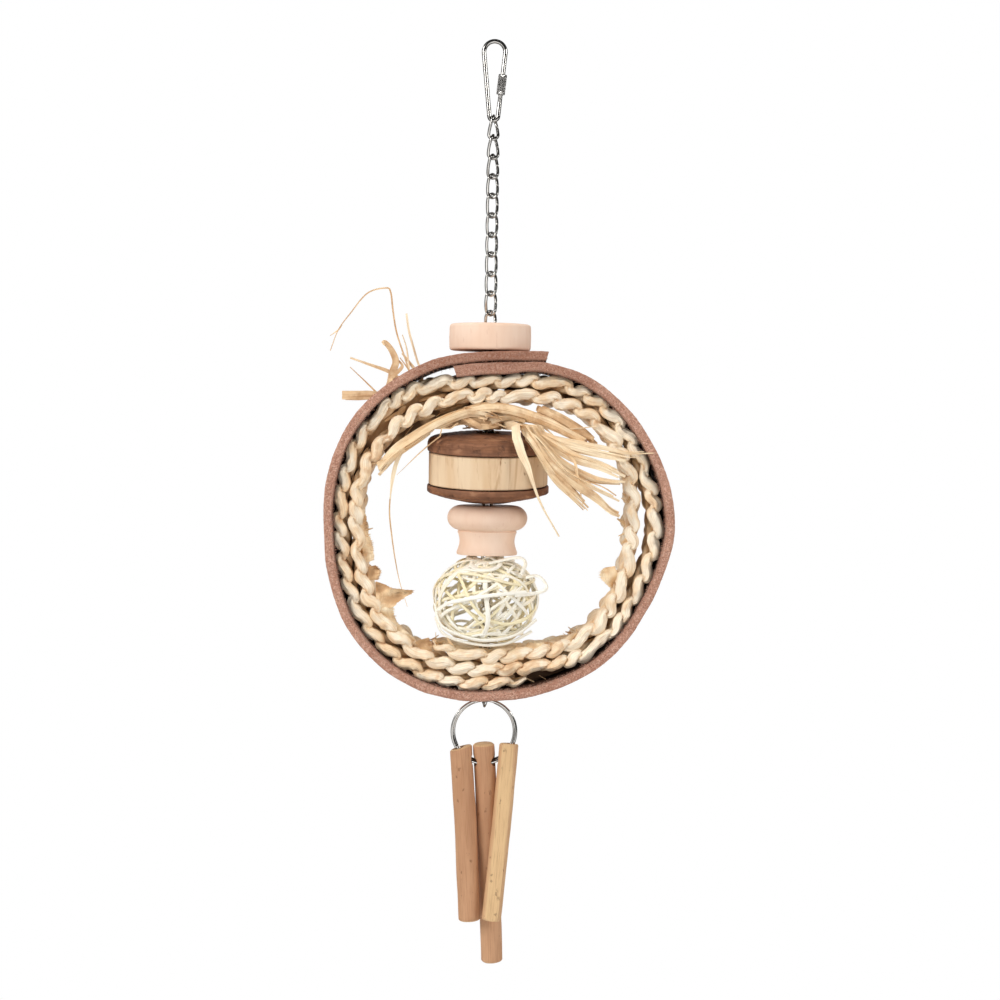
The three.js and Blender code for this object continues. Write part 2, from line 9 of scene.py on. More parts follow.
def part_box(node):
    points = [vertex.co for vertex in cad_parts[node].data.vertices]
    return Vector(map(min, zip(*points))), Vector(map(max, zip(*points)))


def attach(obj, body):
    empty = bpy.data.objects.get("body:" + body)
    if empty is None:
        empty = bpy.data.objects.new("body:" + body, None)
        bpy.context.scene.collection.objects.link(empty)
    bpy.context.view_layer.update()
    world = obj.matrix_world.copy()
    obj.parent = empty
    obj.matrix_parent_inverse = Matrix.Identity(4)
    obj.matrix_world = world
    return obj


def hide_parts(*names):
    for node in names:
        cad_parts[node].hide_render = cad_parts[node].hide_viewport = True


# Hanging bird toy in metres, +Z up, seen from -Y; lengths below are in millimetres
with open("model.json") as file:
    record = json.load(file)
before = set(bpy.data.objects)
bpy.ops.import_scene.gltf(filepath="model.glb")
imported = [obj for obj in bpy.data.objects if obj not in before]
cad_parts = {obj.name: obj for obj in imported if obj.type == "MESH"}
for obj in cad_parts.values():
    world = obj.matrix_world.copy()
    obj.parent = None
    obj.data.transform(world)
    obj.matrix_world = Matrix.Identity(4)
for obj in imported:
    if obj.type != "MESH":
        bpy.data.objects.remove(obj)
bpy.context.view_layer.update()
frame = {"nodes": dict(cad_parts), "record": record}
mm = 0.001
boxes = {name: [np.array(corner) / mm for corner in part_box(name)] for name in frame["nodes"]}
joints = {joint["name"]: joint for joint in frame["record"]["behaviour"]["joints"]}
print("frame loaded,", len(boxes), "nodes")


# Shader nodes

class Sock:
    def __init__(self, finish, socket):
        self.finish = finish
        self.socket = socket

    def math(self, operation, *values):
        return self.finish.node("ShaderNodeMath", {"operation": operation}, dict(enumerate(values)))

    def __add__(self, other):
        return self.math("ADD", self, other)

    def __sub__(self, other):
        return self.math("SUBTRACT", self, other)

    def __rsub__(self, other):
        return self.math("SUBTRACT", other, self)

    def __mul__(self, other):
        return self.math("MULTIPLY", self, other)

    def __gt__(self, other):
        return self.math("GREATER_THAN", self, other)

    __radd__ = __add__
    __rmul__ = __mul__


class Finish:
    def __init__(self, name, owner=None):
        self.owner = owner or bpy.data.materials.new(name)
        self.owner.use_nodes = True
        self.tree = self.owner.node_tree
        self.tree.nodes.clear()

    # one node: its type, its settings first, then the values or links of its sockets
    def node(self, kind, settings=None, sockets=None, output=0):
        node = self.tree.nodes.new(kind)
        for key, value in (settings or {}).items():
            setattr(node, key, value)
        for key, value in (sockets or {}).items():
            if isinstance(value, Sock):
                self.tree.links.new(value.socket, node.inputs[key])
            else:
                node.inputs[key].default_value = value
        return Sock(self, node.outputs[output]) if len(node.outputs) else node

    def mix(self, factor, a, b, blend="MIX"):
        settings = {"data_type": "RGBA", "blend_type": blend}
        return self.node("ShaderNodeMix", settings, {0: factor, 6: a, 7: b}, 2)

    # tints laid over a colour one after another, each through its own mask
    def layers(self, colour, *tints):
        for mask, tint in tints:
            colour = self.mix(mask, colour, tint)
        return colour

    # a soft threshold: 0 below low, 1 above high
    def step(self, value, low, high):
        sockets = {0: value, 1: low, 2: high, 3: 0.0, 4: 1.0}
        return self.node("ShaderNodeMapRange", {"interpolation_type": "SMOOTHSTEP"}, sockets)

    def grain(self, place, scale, detail=3.0, rough=0.55, stretch=(1, 1, 1), distortion=0.0):
        vector = self.node("ShaderNodeVectorMath", {"operation": "MULTIPLY"}, {0: place, 1: stretch})
        sockets = {"Vector": vector, "Scale": scale, "Detail": detail, "Roughness": rough, "Distortion": distortion}
        return self.node("ShaderNodeTexNoise", {}, sockets)

    def ray(self, name):
        return self.node("ShaderNodeLightPath", {}, {}, f"Is {name} Ray")

    # 1 where any of the named rays looks, else 0
    def seenBy(self, first, *others):
        count = self.ray(first)
        for other in others:
            count = count + self.ray(other)
        return count > 0.5

    def place(self):
        return self.node("ShaderNodeTexCoord", {}, {}, "Object")

    def lay(self):
        return self.node("ShaderNodeUVMap", {"uv_map": "lay"})

    def axis(self, vector, letter):
        return self.node("ShaderNodeSeparateXYZ", {}, {0: vector}, letter)

    def tone(self):
        return self.node("ShaderNodeAttribute", {"attribute_name": "tone"}, {}, "Fac")

    def bump(self, height, strength, distance):
        sockets = {"Height": height, "Strength": strength, "Distance": distance}
        return self.node("ShaderNodeBump", {}, sockets)

    def close(self, **sockets):
        named = {key.replace("_", " "): value for key, value in sockets.items()}
        shader = self.node("ShaderNodeBsdfPrincipled", {}, named)
        self.node("ShaderNodeOutputMaterial", {}, {"Surface": shader})
        return self.owner


def srgb(red, green, blue):
    linear = [((c / 255 + 0.055) / 1.055) ** 2.4 if c > 10 else c / 255 / 12.92 for c in (red, green, blue)]
    return (*linear, 1.0)


# Meshes

def smoothstep(low, high, x):
    t = np.clip((np.asarray(x, float) - low) / (high - low), 0, 1)
    return t * t * (3 - 2 * t)


def unit(vectors):
    return vectors / np.maximum(np.linalg.norm(vectors, axis=-1, keepdims=True), 1e-9)


# a smooth curve through a few points, as evenly numbered places
def through(points, count):
    points = np.asarray(points, float)
    padded = np.vstack([2 * points[0] - points[1], points, 2 * points[-1] - points[-2]])
    t = np.linspace(0, len(points) - 1, count)
    i = np.minimum(t.astype(int), len(points) - 2)
    f = (t - i)[:, None]
    a, b, c, d = padded[i], padded[i + 1], padded[i + 2], padded[i + 3]
    return 0.5 * (2 * b + (c - a) * f + (2 * a - 5 * b + 4 * c - d) * f ** 2 + (3 * b - a - 3 * c + d) * f ** 3)


def wobble(points, scale, size, seed=0.0):
    shift = Vector((seed, 2.3 * seed, -1.7 * seed))
    return size * np.array([noise.noise_vector(Vector(p) * scale + shift) for p in points])


def turnX(degrees):
    c, s = math.cos(math.radians(degrees)), math.sin(math.radians(degrees))
    return np.array([[1, 0, 0], [0, c, -s], [0, s, c]])


def turnY(degrees):
    c, s = math.cos(math.radians(degrees)), math.sin(math.radians(degrees))
    return np.array([[c, 0, s], [0, 1, 0], [-s, 0, c]])


class Skin:
    def __init__(self):
        self.points, self.faces, self.lays, self.tones = [], [], [], []

    def add(self, points, faces, lays, tones):
        first = sum(len(p) for p in self.points)
        self.points.append(np.asarray(points, float))
        self.faces.extend(tuple(first + i for i in face) for face in faces)
        self.lays.extend(lays)
        self.tones.append(np.asarray(tones, float))

    # rings of points joined side to side, with a lid at each open end
    def loft(self, rings, tone=0.5, meets=False):
        rings = np.asarray(rings, float)
        count, sides = rings.shape[:2]
        length = np.concatenate([[0], np.cumsum(np.linalg.norm(np.diff(rings.mean(1), axis=0), axis=1))]) * mm
        girth = np.linalg.norm(np.diff(np.concatenate([rings, rings[:, :1]], 1), axis=1), axis=2)
        girth = np.concatenate([[0], np.cumsum(girth.mean(0))]) * mm
        faces, lays = [], []
        for i in range(count if meets else count - 1):
            j = (i + 1) % count
            far = length[j] if j else length[-1] + length[1]
            for k in range(sides):
                n = (k + 1) % sides
                faces.append((i * sides + k, i * sides + n, j * sides + n, j * sides + k))
                lays += [(length[i], girth[k]), (length[i], girth[k + 1]), (far, girth[k + 1]), (far, girth[k])]
        points = rings.reshape(-1, 3)
        tones = np.asarray(tone, float)
        tones = np.broadcast_to(tones[:, None] if tones.ndim == 1 else tones, (count, sides))
        tones = tones.reshape(-1)
        if not meets:
            for ring, row in ((0, range(sides - 1, -1, -1)), (count - 1, range(sides))):
                faces.append(tuple(ring * sides + k for k in row))
                middle = rings[ring].mean(0)
                axis = unit(rings[ring, 0] - middle)
                other = unit(rings[ring, sides // 4] - middle)
                for k in row:
                    spoke = (rings[ring, k] - middle) * mm
                    lays.append((length[ring] + spoke @ axis, spoke @ other))
        self.add(points, faces, lays, tones)

    # a strip or wire along a path: half sizes along the up directions and across them
    def sweep(self, path, ups, halfUp, halfAcross, sides=8, tone=0.5, square=1.0, relief=1.0, meets=False):
        path = np.asarray(path, float)
        if meets:
            tangent = unit(np.roll(path, -1, 0) - np.roll(path, 1, 0))
        else:
            tangent = unit(np.gradient(path, axis=0))
        ups = np.broadcast_to(np.asarray(ups, float), path.shape)
        along = unit(ups - (ups * tangent).sum(1, keepdims=True) * tangent)
        across = np.cross(tangent, along)
        angle = 2 * np.pi * (np.arange(sides) + 0.5) / sides
        c = np.sign(np.cos(angle)) * np.abs(np.cos(angle)) ** square
        s = np.sign(np.sin(angle)) * np.abs(np.sin(angle)) ** square
        up = np.broadcast_to(halfUp, len(path))[:, None] * c * relief
        side = np.broadcast_to(halfAcross, len(path))[:, None] * s * relief
        rings = path[:, None] + along[:, None] * up[..., None] + across[:, None] * side[..., None]
        self.loft(rings, tone, meets)

    # a turned form: radius and height pairs round the Z axis, closed on themselves
    def turn(self, profile, segments=72, tone=0.5):
        profile = np.asarray(profile, float)
        angle = 2 * np.pi * np.arange(segments) / segments
        rings = np.stack([
            np.outer(np.cos(angle), profile[:, 0]),
            np.outer(np.sin(angle), profile[:, 0]),
            np.broadcast_to(profile[:, 1], (segments, len(profile))),
        ], -1)
        self.loft(rings, np.broadcast_to(tone, (segments, len(profile))), True)

    def shift(self, offset):
        self.points = [p + np.asarray(offset) for p in self.points]
        return self

    def mesh(self, name):
        mesh = bpy.data.meshes.new(name)
        points = np.concatenate(self.points) * mm
        mesh.from_pydata(points.tolist(), [], self.faces)
        lay = mesh.uv_layers.new(name="lay")
        lay.data.foreach_set("uv", np.asarray(self.lays, np.float32).ravel())
        tone = mesh.attributes.new("tone", "FLOAT", "POINT")
        tone.data.foreach_set("value", np.concatenate(self.tones).astype(np.float32))
        shape = bmesh.new()
        shape.from_mesh(mesh)
        bmesh.ops.recalc_face_normals(shape, faces=shape.faces)
        shape.to_mesh(mesh)
        shape.free()
        return mesh


# a finished piece on its body, in the place of the named nodes
def makePiece(name, skin, finish, body, nodes=(), sharp=40):
    mesh = skin if isinstance(skin, bpy.types.Mesh) else skin.mesh(name)
    mesh.materials.clear()
    mesh.materials.append(finish)
    mesh.shade_smooth()
    mesh.set_sharp_from_angle(angle=math.radians(sharp))
    piece = bpy.data.objects.new(name, mesh)
    bpy.context.collection.objects.link(piece)
    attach(piece, body)
    if nodes:
        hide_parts(*nodes)
    return piece


# the mesh of a skin with other skins cut out of it
def cutOut(name, skin, *tools):
    work = bpy.data.objects.new(name + "_work", skin.mesh(name + "_work"))
    bpy.context.collection.objects.link(work)
    spare = [work]
    for i, tool in enumerate(tools):
        cutter = bpy.data.objects.new(f"{name}_tool_{i}", tool.mesh(f"{name}_tool_{i}"))
        bpy.context.collection.objects.link(cutter)
        spare.append(cutter)
        change = work.modifiers.new("cut", "BOOLEAN")
        change.object = cutter
        change.solver = "EXACT"
    result = bpy.data.meshes.new_from_object(work.evaluated_get(bpy.context.evaluated_depsgraph_get()))
    result.name = name
    for item in spare:
        bpy.data.objects.remove(item)
    return result


# Finishes

def nickelFinish():
    tints = dict(bright=srgb(206, 203, 198), dull=srgb(122, 116, 108))
    f = Finish("nickel_wire")
    place = f.place()
    cloud = f.grain(place, 160, 4)
    scratch = f.grain(place, 900, 2, 0.6, (1, 1, 0.15))
    dull = f.step(f.grain(place, 150, 3), 0.5, 0.75)
    colour = f.mix(dull * 0.5, tints["bright"], tints["dull"])
    rough = 0.09 + 0.07 * cloud + 0.08 * dull
    return f.close(Base_Color=colour, Metallic=1.0, Roughness=rough, Normal=f.bump(scratch, 0.03, 0.0002))


def turnedWoodFinish():
    tints = dict(dark=srgb(240, 207, 181), pale=srgb(248, 223, 201), fibre=srgb(219, 174, 143),
                 rings=srgb(214, 166, 134), fleck=srgb(205, 158, 126))
    f = Finish("pale_turned_wood")
    place = f.place()
    broad = f.grain(place, 55, 3, 0.5, (1, 1, 0.5))
    fibre = f.grain(place, 420, 4, 0.6, (1, 1, 0.09))
    fleck = f.step(f.grain(place, 900, 2, 0.5, (1, 1, 0.22)), 0.64, 0.72)
    ringSockets = {"Vector": place, "Scale": 105, "Distortion": 2.2, "Detail": 2.0, "Detail Scale": 0.6}
    rings = f.node("ShaderNodeTexWave", {"wave_type": "RINGS", "rings_direction": "Z"}, ringSockets, "Fac")
    colour = f.layers(
        tints["dark"], (f.step(broad, 0.34, 0.66), tints["pale"]), (fibre * 0.34, tints["fibre"]),
        (rings * 0.12, tints["rings"]), (fleck * 0.22, tints["fleck"]),
    )
    normal = f.bump(fibre + 0.5 * fleck, 0.16, 0.0004)
    return f.close(Base_Color=colour, Roughness=0.5 + 0.16 * fibre, Normal=normal, Specular_IOR_Level=0.35)


# tone 1 is the worn rim of the slice
def pineFinish():
    tints = dict(pale=srgb(238, 214, 180), broad=srgb(224, 191, 151), streak=srgb(186, 143, 102),
                 fibre=srgb(201, 160, 118), mark=srgb(139, 98, 66), rim=srgb(150, 104, 70))
    f = Finish("pine_slice")
    place = f.place()
    broad = f.grain(place, 70, 3, 0.55, (1, 1, 0.12))
    streak = f.step(f.grain(place, 330, 4, 0.65, (1, 1, 0.06), 0.6), 0.5, 0.66)
    fibre = f.grain(place, 700, 4, 0.65, (1, 1, 0.06))
    mark = f.step(f.grain(place, 260, 2, 0.5, (1, 1, 0.55)), 0.7, 0.76)
    colour = f.layers(
        tints["pale"], (f.step(broad, 0.35, 0.65), tints["broad"]), (streak * 0.55, tints["streak"]),
        (fibre * 0.25, tints["fibre"]), (mark * 0.75, tints["mark"]),
        (f.step(f.tone(), 0.55, 0.95) * 0.5, tints["rim"]),
    )
    normal = f.bump(fibre - 0.6 * mark, 0.22, 0.0005)
    return f.close(Base_Color=colour, Roughness=0.58 + 0.15 * fibre, Normal=normal, Specular_IOR_Level=0.3)


# tone 1 is the scraped edge of the shell
def coconutFinish():
    tints = dict(dark=srgb(108, 68, 44), mottle=srgb(152, 102, 70), fibre=srgb(106, 68, 47),
                 pale=srgb(184, 134, 98), spot=srgb(66, 42, 30), edge=srgb(168, 122, 94))
    f = Finish("coconut_shell")
    place = f.place()
    mottle = f.grain(place, 120, 5, 0.6)
    fibre = f.grain(f.lay(), 1100, 4, 0.65, (0.07, 1, 1), 0.4)
    pale = f.step(f.grain(place, 300, 4, 0.6, (0.35, 1, 1)), 0.55, 0.74)
    spot = f.step(f.grain(place, 210, 3, 0.6), 0.56, 0.7)
    colour = f.layers(
        tints["dark"], (f.step(mottle, 0.32, 0.68), tints["mottle"]),
        (f.step(fibre, 0.4, 0.62) * 0.6, tints["fibre"]), (pale * 0.55, tints["pale"]),
        (spot * 0.6, tints["spot"]), (f.tone() * 0.7, tints["edge"]),
    )
    normal = f.bump(fibre + mottle - spot, 0.45, 0.0007)
    return f.close(Base_Color=colour, Roughness=0.62 + 0.2 * fibre, Normal=normal, Specular_IOR_Level=0.35)


# tone runs from the grain side, 0, over the cut edge to the flesh side, 1; the flesh side is painted near-black,
# painted shade inside the hoop laid over the flesh's own darker colour; the top of the hoop is darker
def leatherFinish():
    tints = dict(tan=srgb(176, 124, 101), cloud=srgb(197, 147, 123), nap=srgb(226, 186, 164),
                 fibre=srgb(116, 72, 53),
                 layers=srgb(214, 176, 156), top=srgb(120, 72, 50), flesh=srgb(44, 25, 17))
    f = Finish("raw_leather")
    place = f.place()
    cloud = f.grain(place, 60, 4, 0.55)
    nap = f.grain(place, 1100, 4, 0.7)
    fibre = f.grain(place, 2300, 3, 0.7, (1, 0.5, 1), 0.8)
    layers = f.grain(f.lay(), 2600, 3, 0.6, (0.05, 1, 1))
    # painted shade: the flesh side and a ragged border on the inner part of the cut edge turn near-black
    flesh = f.step(f.tone() + 0.16 * (nap - 0.5), 0.56, 0.66)
    top = f.step(f.axis(place, "Z"), -0.155, -0.128)
    colour = f.layers(
        tints["tan"], (f.step(cloud, 0.34, 0.66), tints["cloud"]), (f.step(nap, 0.46, 0.6) * 0.75, tints["nap"]),
        (f.step(fibre, 0.5, 0.62) * 0.8, tints["fibre"]), (layers * 0.18, tints["layers"]),
        (top * 0.5, tints["top"]), (flesh * 0.9, tints["flesh"]),
    )
    normal = f.bump(nap + fibre, 0.6, 0.0006)
    return f.close(Base_Color=colour, Roughness=0.86 + 0.1 * nap, Normal=normal, Specular_IOR_Level=0.12)


# tone 0 is fresh straw, 0.8 brown, 1 near-black: dark weathered leaf, and painted shade on the leaf that fills between
# the turns
def leafFinish(name, pale, straw, brown):
    # near-black at tone 1: weathered leaf, and painted shade on the leaf between the turns
    weatheredAndShade = srgb(58, 33, 19)
    f = Finish(name)
    lay, place, tone = f.lay(), f.place(), f.tone()
    vein = f.grain(lay, 2600, 3, 0.6, (0.03, 1, 1), 0.3)
    fine = f.grain(lay, 5200, 2, 0.6, (0.02, 1, 1))
    cloud = f.grain(place, 95, 4, 0.6)
    stain = f.step(f.grain(place, 150, 4, 0.6) + 0.5 * tone, 0.72, 1.0)
    colour = f.layers(
        pale, (f.step(cloud + 0.5 * (tone - 0.3), 0.32, 0.7), straw), (f.step(vein, 0.45, 0.68) * 0.42, brown),
        (f.step(fine, 0.5, 0.66) * 0.25, pale), (stain * 0.65, brown),
        (f.step(tone, 0.86, 1.0) * 0.85, weatheredAndShade),
    )
    normal = f.bump(vein + 0.6 * fine, 0.4, 0.0005)
    return f.close(Base_Color=colour, Roughness=0.55 + 0.2 * vein, Normal=normal, Specular_IOR_Level=0.35)


# tone 1 is the yellow strip
def vineFinish():
    tints = dict(white=srgb(255, 251, 238), cream=srgb(255, 244, 218), vein=srgb(226, 216, 176),
                 yellow=srgb(246, 232, 180))
    f = Finish("vine_strip")
    tone = f.tone()
    vein = f.grain(f.lay(), 3000, 3, 0.6, (0.03, 1, 1))
    cloud = f.grain(f.place(), 140, 3, 0.5)
    colour = f.layers(
        tints["white"], (f.step(cloud + 0.4 * (tone - 0.5), 0.35, 0.7), tints["cream"]),
        (f.step(vein, 0.5, 0.7) * 0.3, tints["vein"]), (f.step(tone, 0.55, 0.95) * 0.6, tints["yellow"]),
    )
    normal = f.bump(vein, 0.3, 0.0004)
    return f.close(Base_Color=colour, Roughness=0.5 + 0.2 * vein, Normal=normal, Specular_IOR_Level=0.35)


# tone 0 is bark-brown, 1 the pale planed wood under it
def stickFinish():
    tints = dict(brown=srgb(186, 138, 102), broad=srgb(208, 162, 124), planed=srgb(222, 186, 138),
                 fibre=srgb(164, 115, 80), speck=srgb(110, 70, 45))
    f = Finish("peeled_stick")
    place = f.place()
    fibre = f.grain(f.lay(), 1900, 4, 0.65, (0.035, 1, 1), 0.3)
    broad = f.grain(place, 60, 4, 0.6, (1, 1, 0.25))
    speck = f.step(f.grain(place, 420, 3, 0.55, (1, 1, 0.5)), 0.64, 0.72)
    colour = f.layers(
        tints["brown"], (f.step(broad, 0.33, 0.67), tints["broad"]), (f.step(f.tone(), 0.2, 0.9), tints["planed"]),
        (f.step(fibre, 0.46, 0.7) * 0.5, tints["fibre"]), (speck * 0.55, tints["speck"]),
    )
    normal = f.bump(fibre - 0.5 * speck, 0.3, 0.0005)
    return f.close(Base_Color=colour, Roughness=0.55 + 0.2 * fibre, Normal=normal, Specular_IOR_Level=0.3)


nickel = nickelFinish()
turnedWood = turnedWoodFinish()
pine = pineFinish()
coconut = coconutFinish()
leather = leatherFinish()
plaitLeaf = leafFinish("plaited_leaf", srgb(255, 241, 216), srgb(245, 216, 176), srgb(200, 149, 104))
raffia = leafFinish("dried_leaf", srgb(253, 233, 198), srgb(241, 208, 163), srgb(190, 142, 95))
vine = vineFinish()
peeled = stickFinish()
print("finishes made")


# Quick link: a pear of nickelled wire with a thread at its mouth

quickLink = dict(wire=1.0, length=36, topRadius=4.6, footRadius=1.85, mouthTop=-15, mouth=3, endTaper=0.8,
                 threadPitch=0.5, threadDepth=0.1, threadTo=-25.2, threadOver=0.2,
                 legStep=0.35, threadStep=0.07, topSteps=44, footSteps=30, sideSteps=24, sides=20)


def legPlace(z):
    return np.array([quickLink["legX"] + (z - quickLink["legZ"]) * math.tan(quickLink["lean"]), 0, z])


def quickLinkWire():
    q = quickLink
    top = q["wire"] - q["topRadius"]
    foot = 3 * q["wire"] - q["length"] + q["footRadius"]
    lean = math.asin((q["topRadius"] - q["footRadius"]) / (top - foot))
    q.update(lean=lean, legX=q["topRadius"] * math.cos(lean), legZ=top - q["topRadius"] * math.sin(lean))

    def arc(centre, radius, start, end, count):
        angle = np.linspace(start, end, count)
        return np.stack([radius * np.cos(angle), 0 * angle, centre + radius * np.sin(angle)], 1)

    mouthFoot = q["mouthTop"] - q["mouth"]
    upper = [legPlace(z) for z in np.arange(q["mouthTop"], q["legZ"], q["legStep"])]
    turnTop = arc(top, q["topRadius"], -lean, math.pi + lean, q["topSteps"])
    turnFoot = arc(foot, q["footRadius"], math.pi + lean, 2 * math.pi - lean, q["footSteps"])
    lower = [legPlace(z) for z in np.arange(turnFoot[-1, 2], mouthFoot, q["threadStep"])[1:]]
    left = np.linspace(turnTop[-1], turnFoot[0], q["sideSteps"])[1:-1]
    path = np.vstack([upper, turnTop, left, turnFoot, lower])
    thread = (path[:, 0] > 0) & (path[:, 2] < mouthFoot + q["threadOver"]) & (path[:, 2] > q["threadTo"])
    wave = 0.5 + 0.5 * np.cos(2 * np.pi * path[:, 2] / q["threadPitch"])
    radius = q["wire"] - np.where(thread, q["threadDepth"] * wave, 0)
    radius[[0, -1]] *= q["endTaper"]
    skin = Skin()
    skin.sweep(path, (0, 1, 0), radius, radius, q["sides"])
    return skin


makePiece("quick_link_wire", quickLinkWire(), nickel, "quick_link", ["quick_link_body"])


# Screw sleeve: a hexagon with turned-off corners and knurled flats

sleeve = dict(length=8.6, width=4.3, bore=1.25, top=-13.4, chamfer=0.9, cornerCut=0.97, knurl=0.06, knurlPitch=0.62,
              segments=96, rows=58, boreRows=12)


def screwSleeve():
    s = sleeve
    half = s["length"] / 2
    angle = 2 * np.pi * np.arange(s["segments"]) / s["segments"]
    flat = s["width"] / 2 * math.cos(math.pi / 6)
    hexagon = flat / np.cos((angle + np.pi / 6) % (np.pi / 3) - np.pi / 6)
    rings = []
    for z in np.concatenate([np.linspace(-half, half, s["rows"]), [half]]):
        corner = flat * s["cornerCut"] + max(0, (half - abs(z)) / s["chamfer"]) * (s["width"] / 2 - flat)
        wave = 0.5 + 0.5 * math.cos(2 * math.pi * z / s["knurlPitch"])
        radius = np.minimum(hexagon, corner) - s["knurl"] * wave * (abs(z) < half - s["chamfer"])
        rings.append(np.stack([radius * np.cos(angle), radius * np.sin(angle), 0 * angle + z], 1))
    inside = np.stack([np.cos(angle), np.sin(angle), 0 * angle], 1) * s["bore"]
    rings += [inside + [0, 0, z] for z in np.linspace(half, -half, s["boreRows"])]
    lean = turnY(math.degrees(quickLink["lean"]))
    skin = Skin()
    skin.loft(np.array(rings) @ lean.T + legPlace(s["top"]) - lean @ np.array([0, 0, half]), 0.5, True)
    return skin


makePiece("screw_sleeve", screwSleeve(), nickel, "sleeve", ["quick_link_sleeve"], 30)


# Twisted curb chain: round wire bent to an oval, butted at one side and twisted

chain = dict(wire=0.675, width=5.6, pitch=8.4, play=0.3, links=30, straightFrom=5, straightTo=11, butt=0.12,
             buttTaper=0.82, arcSteps=17, riseSteps=9, fallSteps=18, sides=12)


def addLink(skin, k):
    c = chain
    spread = c["width"] / 2 - c["wire"]
    reach = (c["pitch"] + c["play"]) / 2 + c["wire"]
    straight = reach - spread
    angle = np.linspace(0, np.pi, c["arcSteps"])
    arc = np.stack([spread * np.cos(angle), straight + spread * np.sin(angle)], 1)
    rise = np.linspace(c["butt"] / 2, straight, c["riseSteps"])[:-1]
    fall = np.linspace(straight, -straight, c["fallSteps"])[1:-1]
    flat = np.vstack([
        np.stack([0 * rise + spread, rise], 1), arc, np.stack([0 * fall - spread, fall], 1), -arc,
        np.stack([0 * rise + spread, -rise[::-1]], 1),
    ])
    early = max(0, (c["straightFrom"] - k) / (c["straightFrom"] - 1))
    late = max(0, (k - c["straightTo"]) / (c["links"] - c["straightTo"]))
    twist = math.pi / 4 * (early - late + flat[:, 1] / reach)
    low, high = boxes[f"chain_link_{k:02d}"]
    path = np.stack([flat[:, 0] * np.cos(twist), flat[:, 0] * np.sin(twist), flat[:, 1]], 1)
    ups = np.stack([-np.sin(twist), np.cos(twist), 0 * twist], 1)
    radius = np.full(len(path), c["wire"])
    radius[[0, -1]] *= c["buttTaper"]
    skin.sweep(path + [0, 0, (low[2] + high[2]) / 2], ups, radius, radius, c["sides"])


swinging = range(1, chain["straightTo"])
threaded = range(chain["straightTo"], chain["links"] + 1)
for k in swinging:
    single = Skin()
    addLink(single, k)
    makePiece(f"curb_link_{k:02d}", single, nickel, f"link_{k:02d}", [f"chain_link_{k:02d}"])
run = Skin()
for k in threaded:
    addLink(run, k)
makePiece("curb_run", run, nickel, "core", [f"chain_link_{k:02d}" for k in threaded])


# Split ring: flat wire in two turns

splitRing = dict(radius=13.35, radial=1.0, axial=0.5, pitch=1.45, turns=1.9, wire=0.68, crossFrom=0.4, crossTo=0.6,
                 tip=0.75, tipGrowth=40, steps=230, sides=18, square=0.9)
ringZ = boxes["split_ring"][1][2] - splitRing["radius"] - splitRing["radial"]


def ringSkin():
    r = splitRing
    part = np.linspace(0, r["turns"], r["steps"])
    angle = np.pi / 2 + np.pi * (2 - r["turns"]) + 2 * np.pi * part
    out = np.stack([np.cos(angle), 0 * angle, np.sin(angle)], 1)
    cross = smoothstep(r["crossFrom"] * r["turns"], r["crossTo"] * r["turns"], part)
    path = out * (r["radius"] + (r["radial"] - r["wire"]) * (1 - 2 * cross))[:, None]
    path[:, 1] = r["pitch"] * (part - r["turns"] / 2)
    path[:, 2] += ringZ
    grow = np.minimum(1, r["tip"] + r["tipGrowth"] * np.minimum(part, r["turns"] - part))
    skin = Skin()
    skin.sweep(path, out, r["wire"] * grow, r["axial"] * grow, r["sides"], 0.5, r["square"])
    return skin


makePiece("key_ring", ringSkin(), nickel, "ring", ["split_ring"])
print("metal made")


# Turned and cut wood

# corners of a turned section, each rounded by its own size
def rounded(corners, steps=7):
    section = []
    for i, (radius, height, size) in enumerate(corners):
        corner = np.array([radius, height])
        before = unit(np.array(corners[i - 1][:2]) - corner)
        after = unit(np.array(corners[(i + 1) % len(corners)][:2]) - corner)
        for s in np.linspace(0, 1, steps) if size else [0.5]:
            section.append(corner + size * ((1 - s) ** 2 * before + s ** 2 * after))
    return np.array(section)


topDisc = dict(radius=17.6, height=11.4, edge=1.5, bulge=0.15, bore=3.5, boreEdge=0.5, boreMiddle=5, segments=96)
bead = dict(radius=17.2, height=21.1, top=11.5, foot=13.3, collar=12.9, collarAt=10.4, dip=1.25, bore=3.5,
            boreEdge=0.5, boreLow=10, boreHigh=14, footEdge=0.8, waistFrom=0.9, waistSteps=26, swellSteps=34,
            grooveWidth=0.55, grooveDepth=0.45, grooveAt=10.3, fineSteps=220, segments=96)


def discSkin():
    d = topDisc
    bore, rim, height = d["bore"], d["radius"] - d["bulge"], d["height"]
    skin = Skin()
    skin.turn(rounded([
        (bore, 0, d["boreEdge"]), (rim, 0, d["edge"]), (d["radius"], height / 2, 0), (rim, height, d["edge"]),
        (bore, height, d["boreEdge"]), (bore, d["boreMiddle"], 0),
    ]), d["segments"])
    return skin.shift((0, 0, boxes["top_disc"][0][2]))


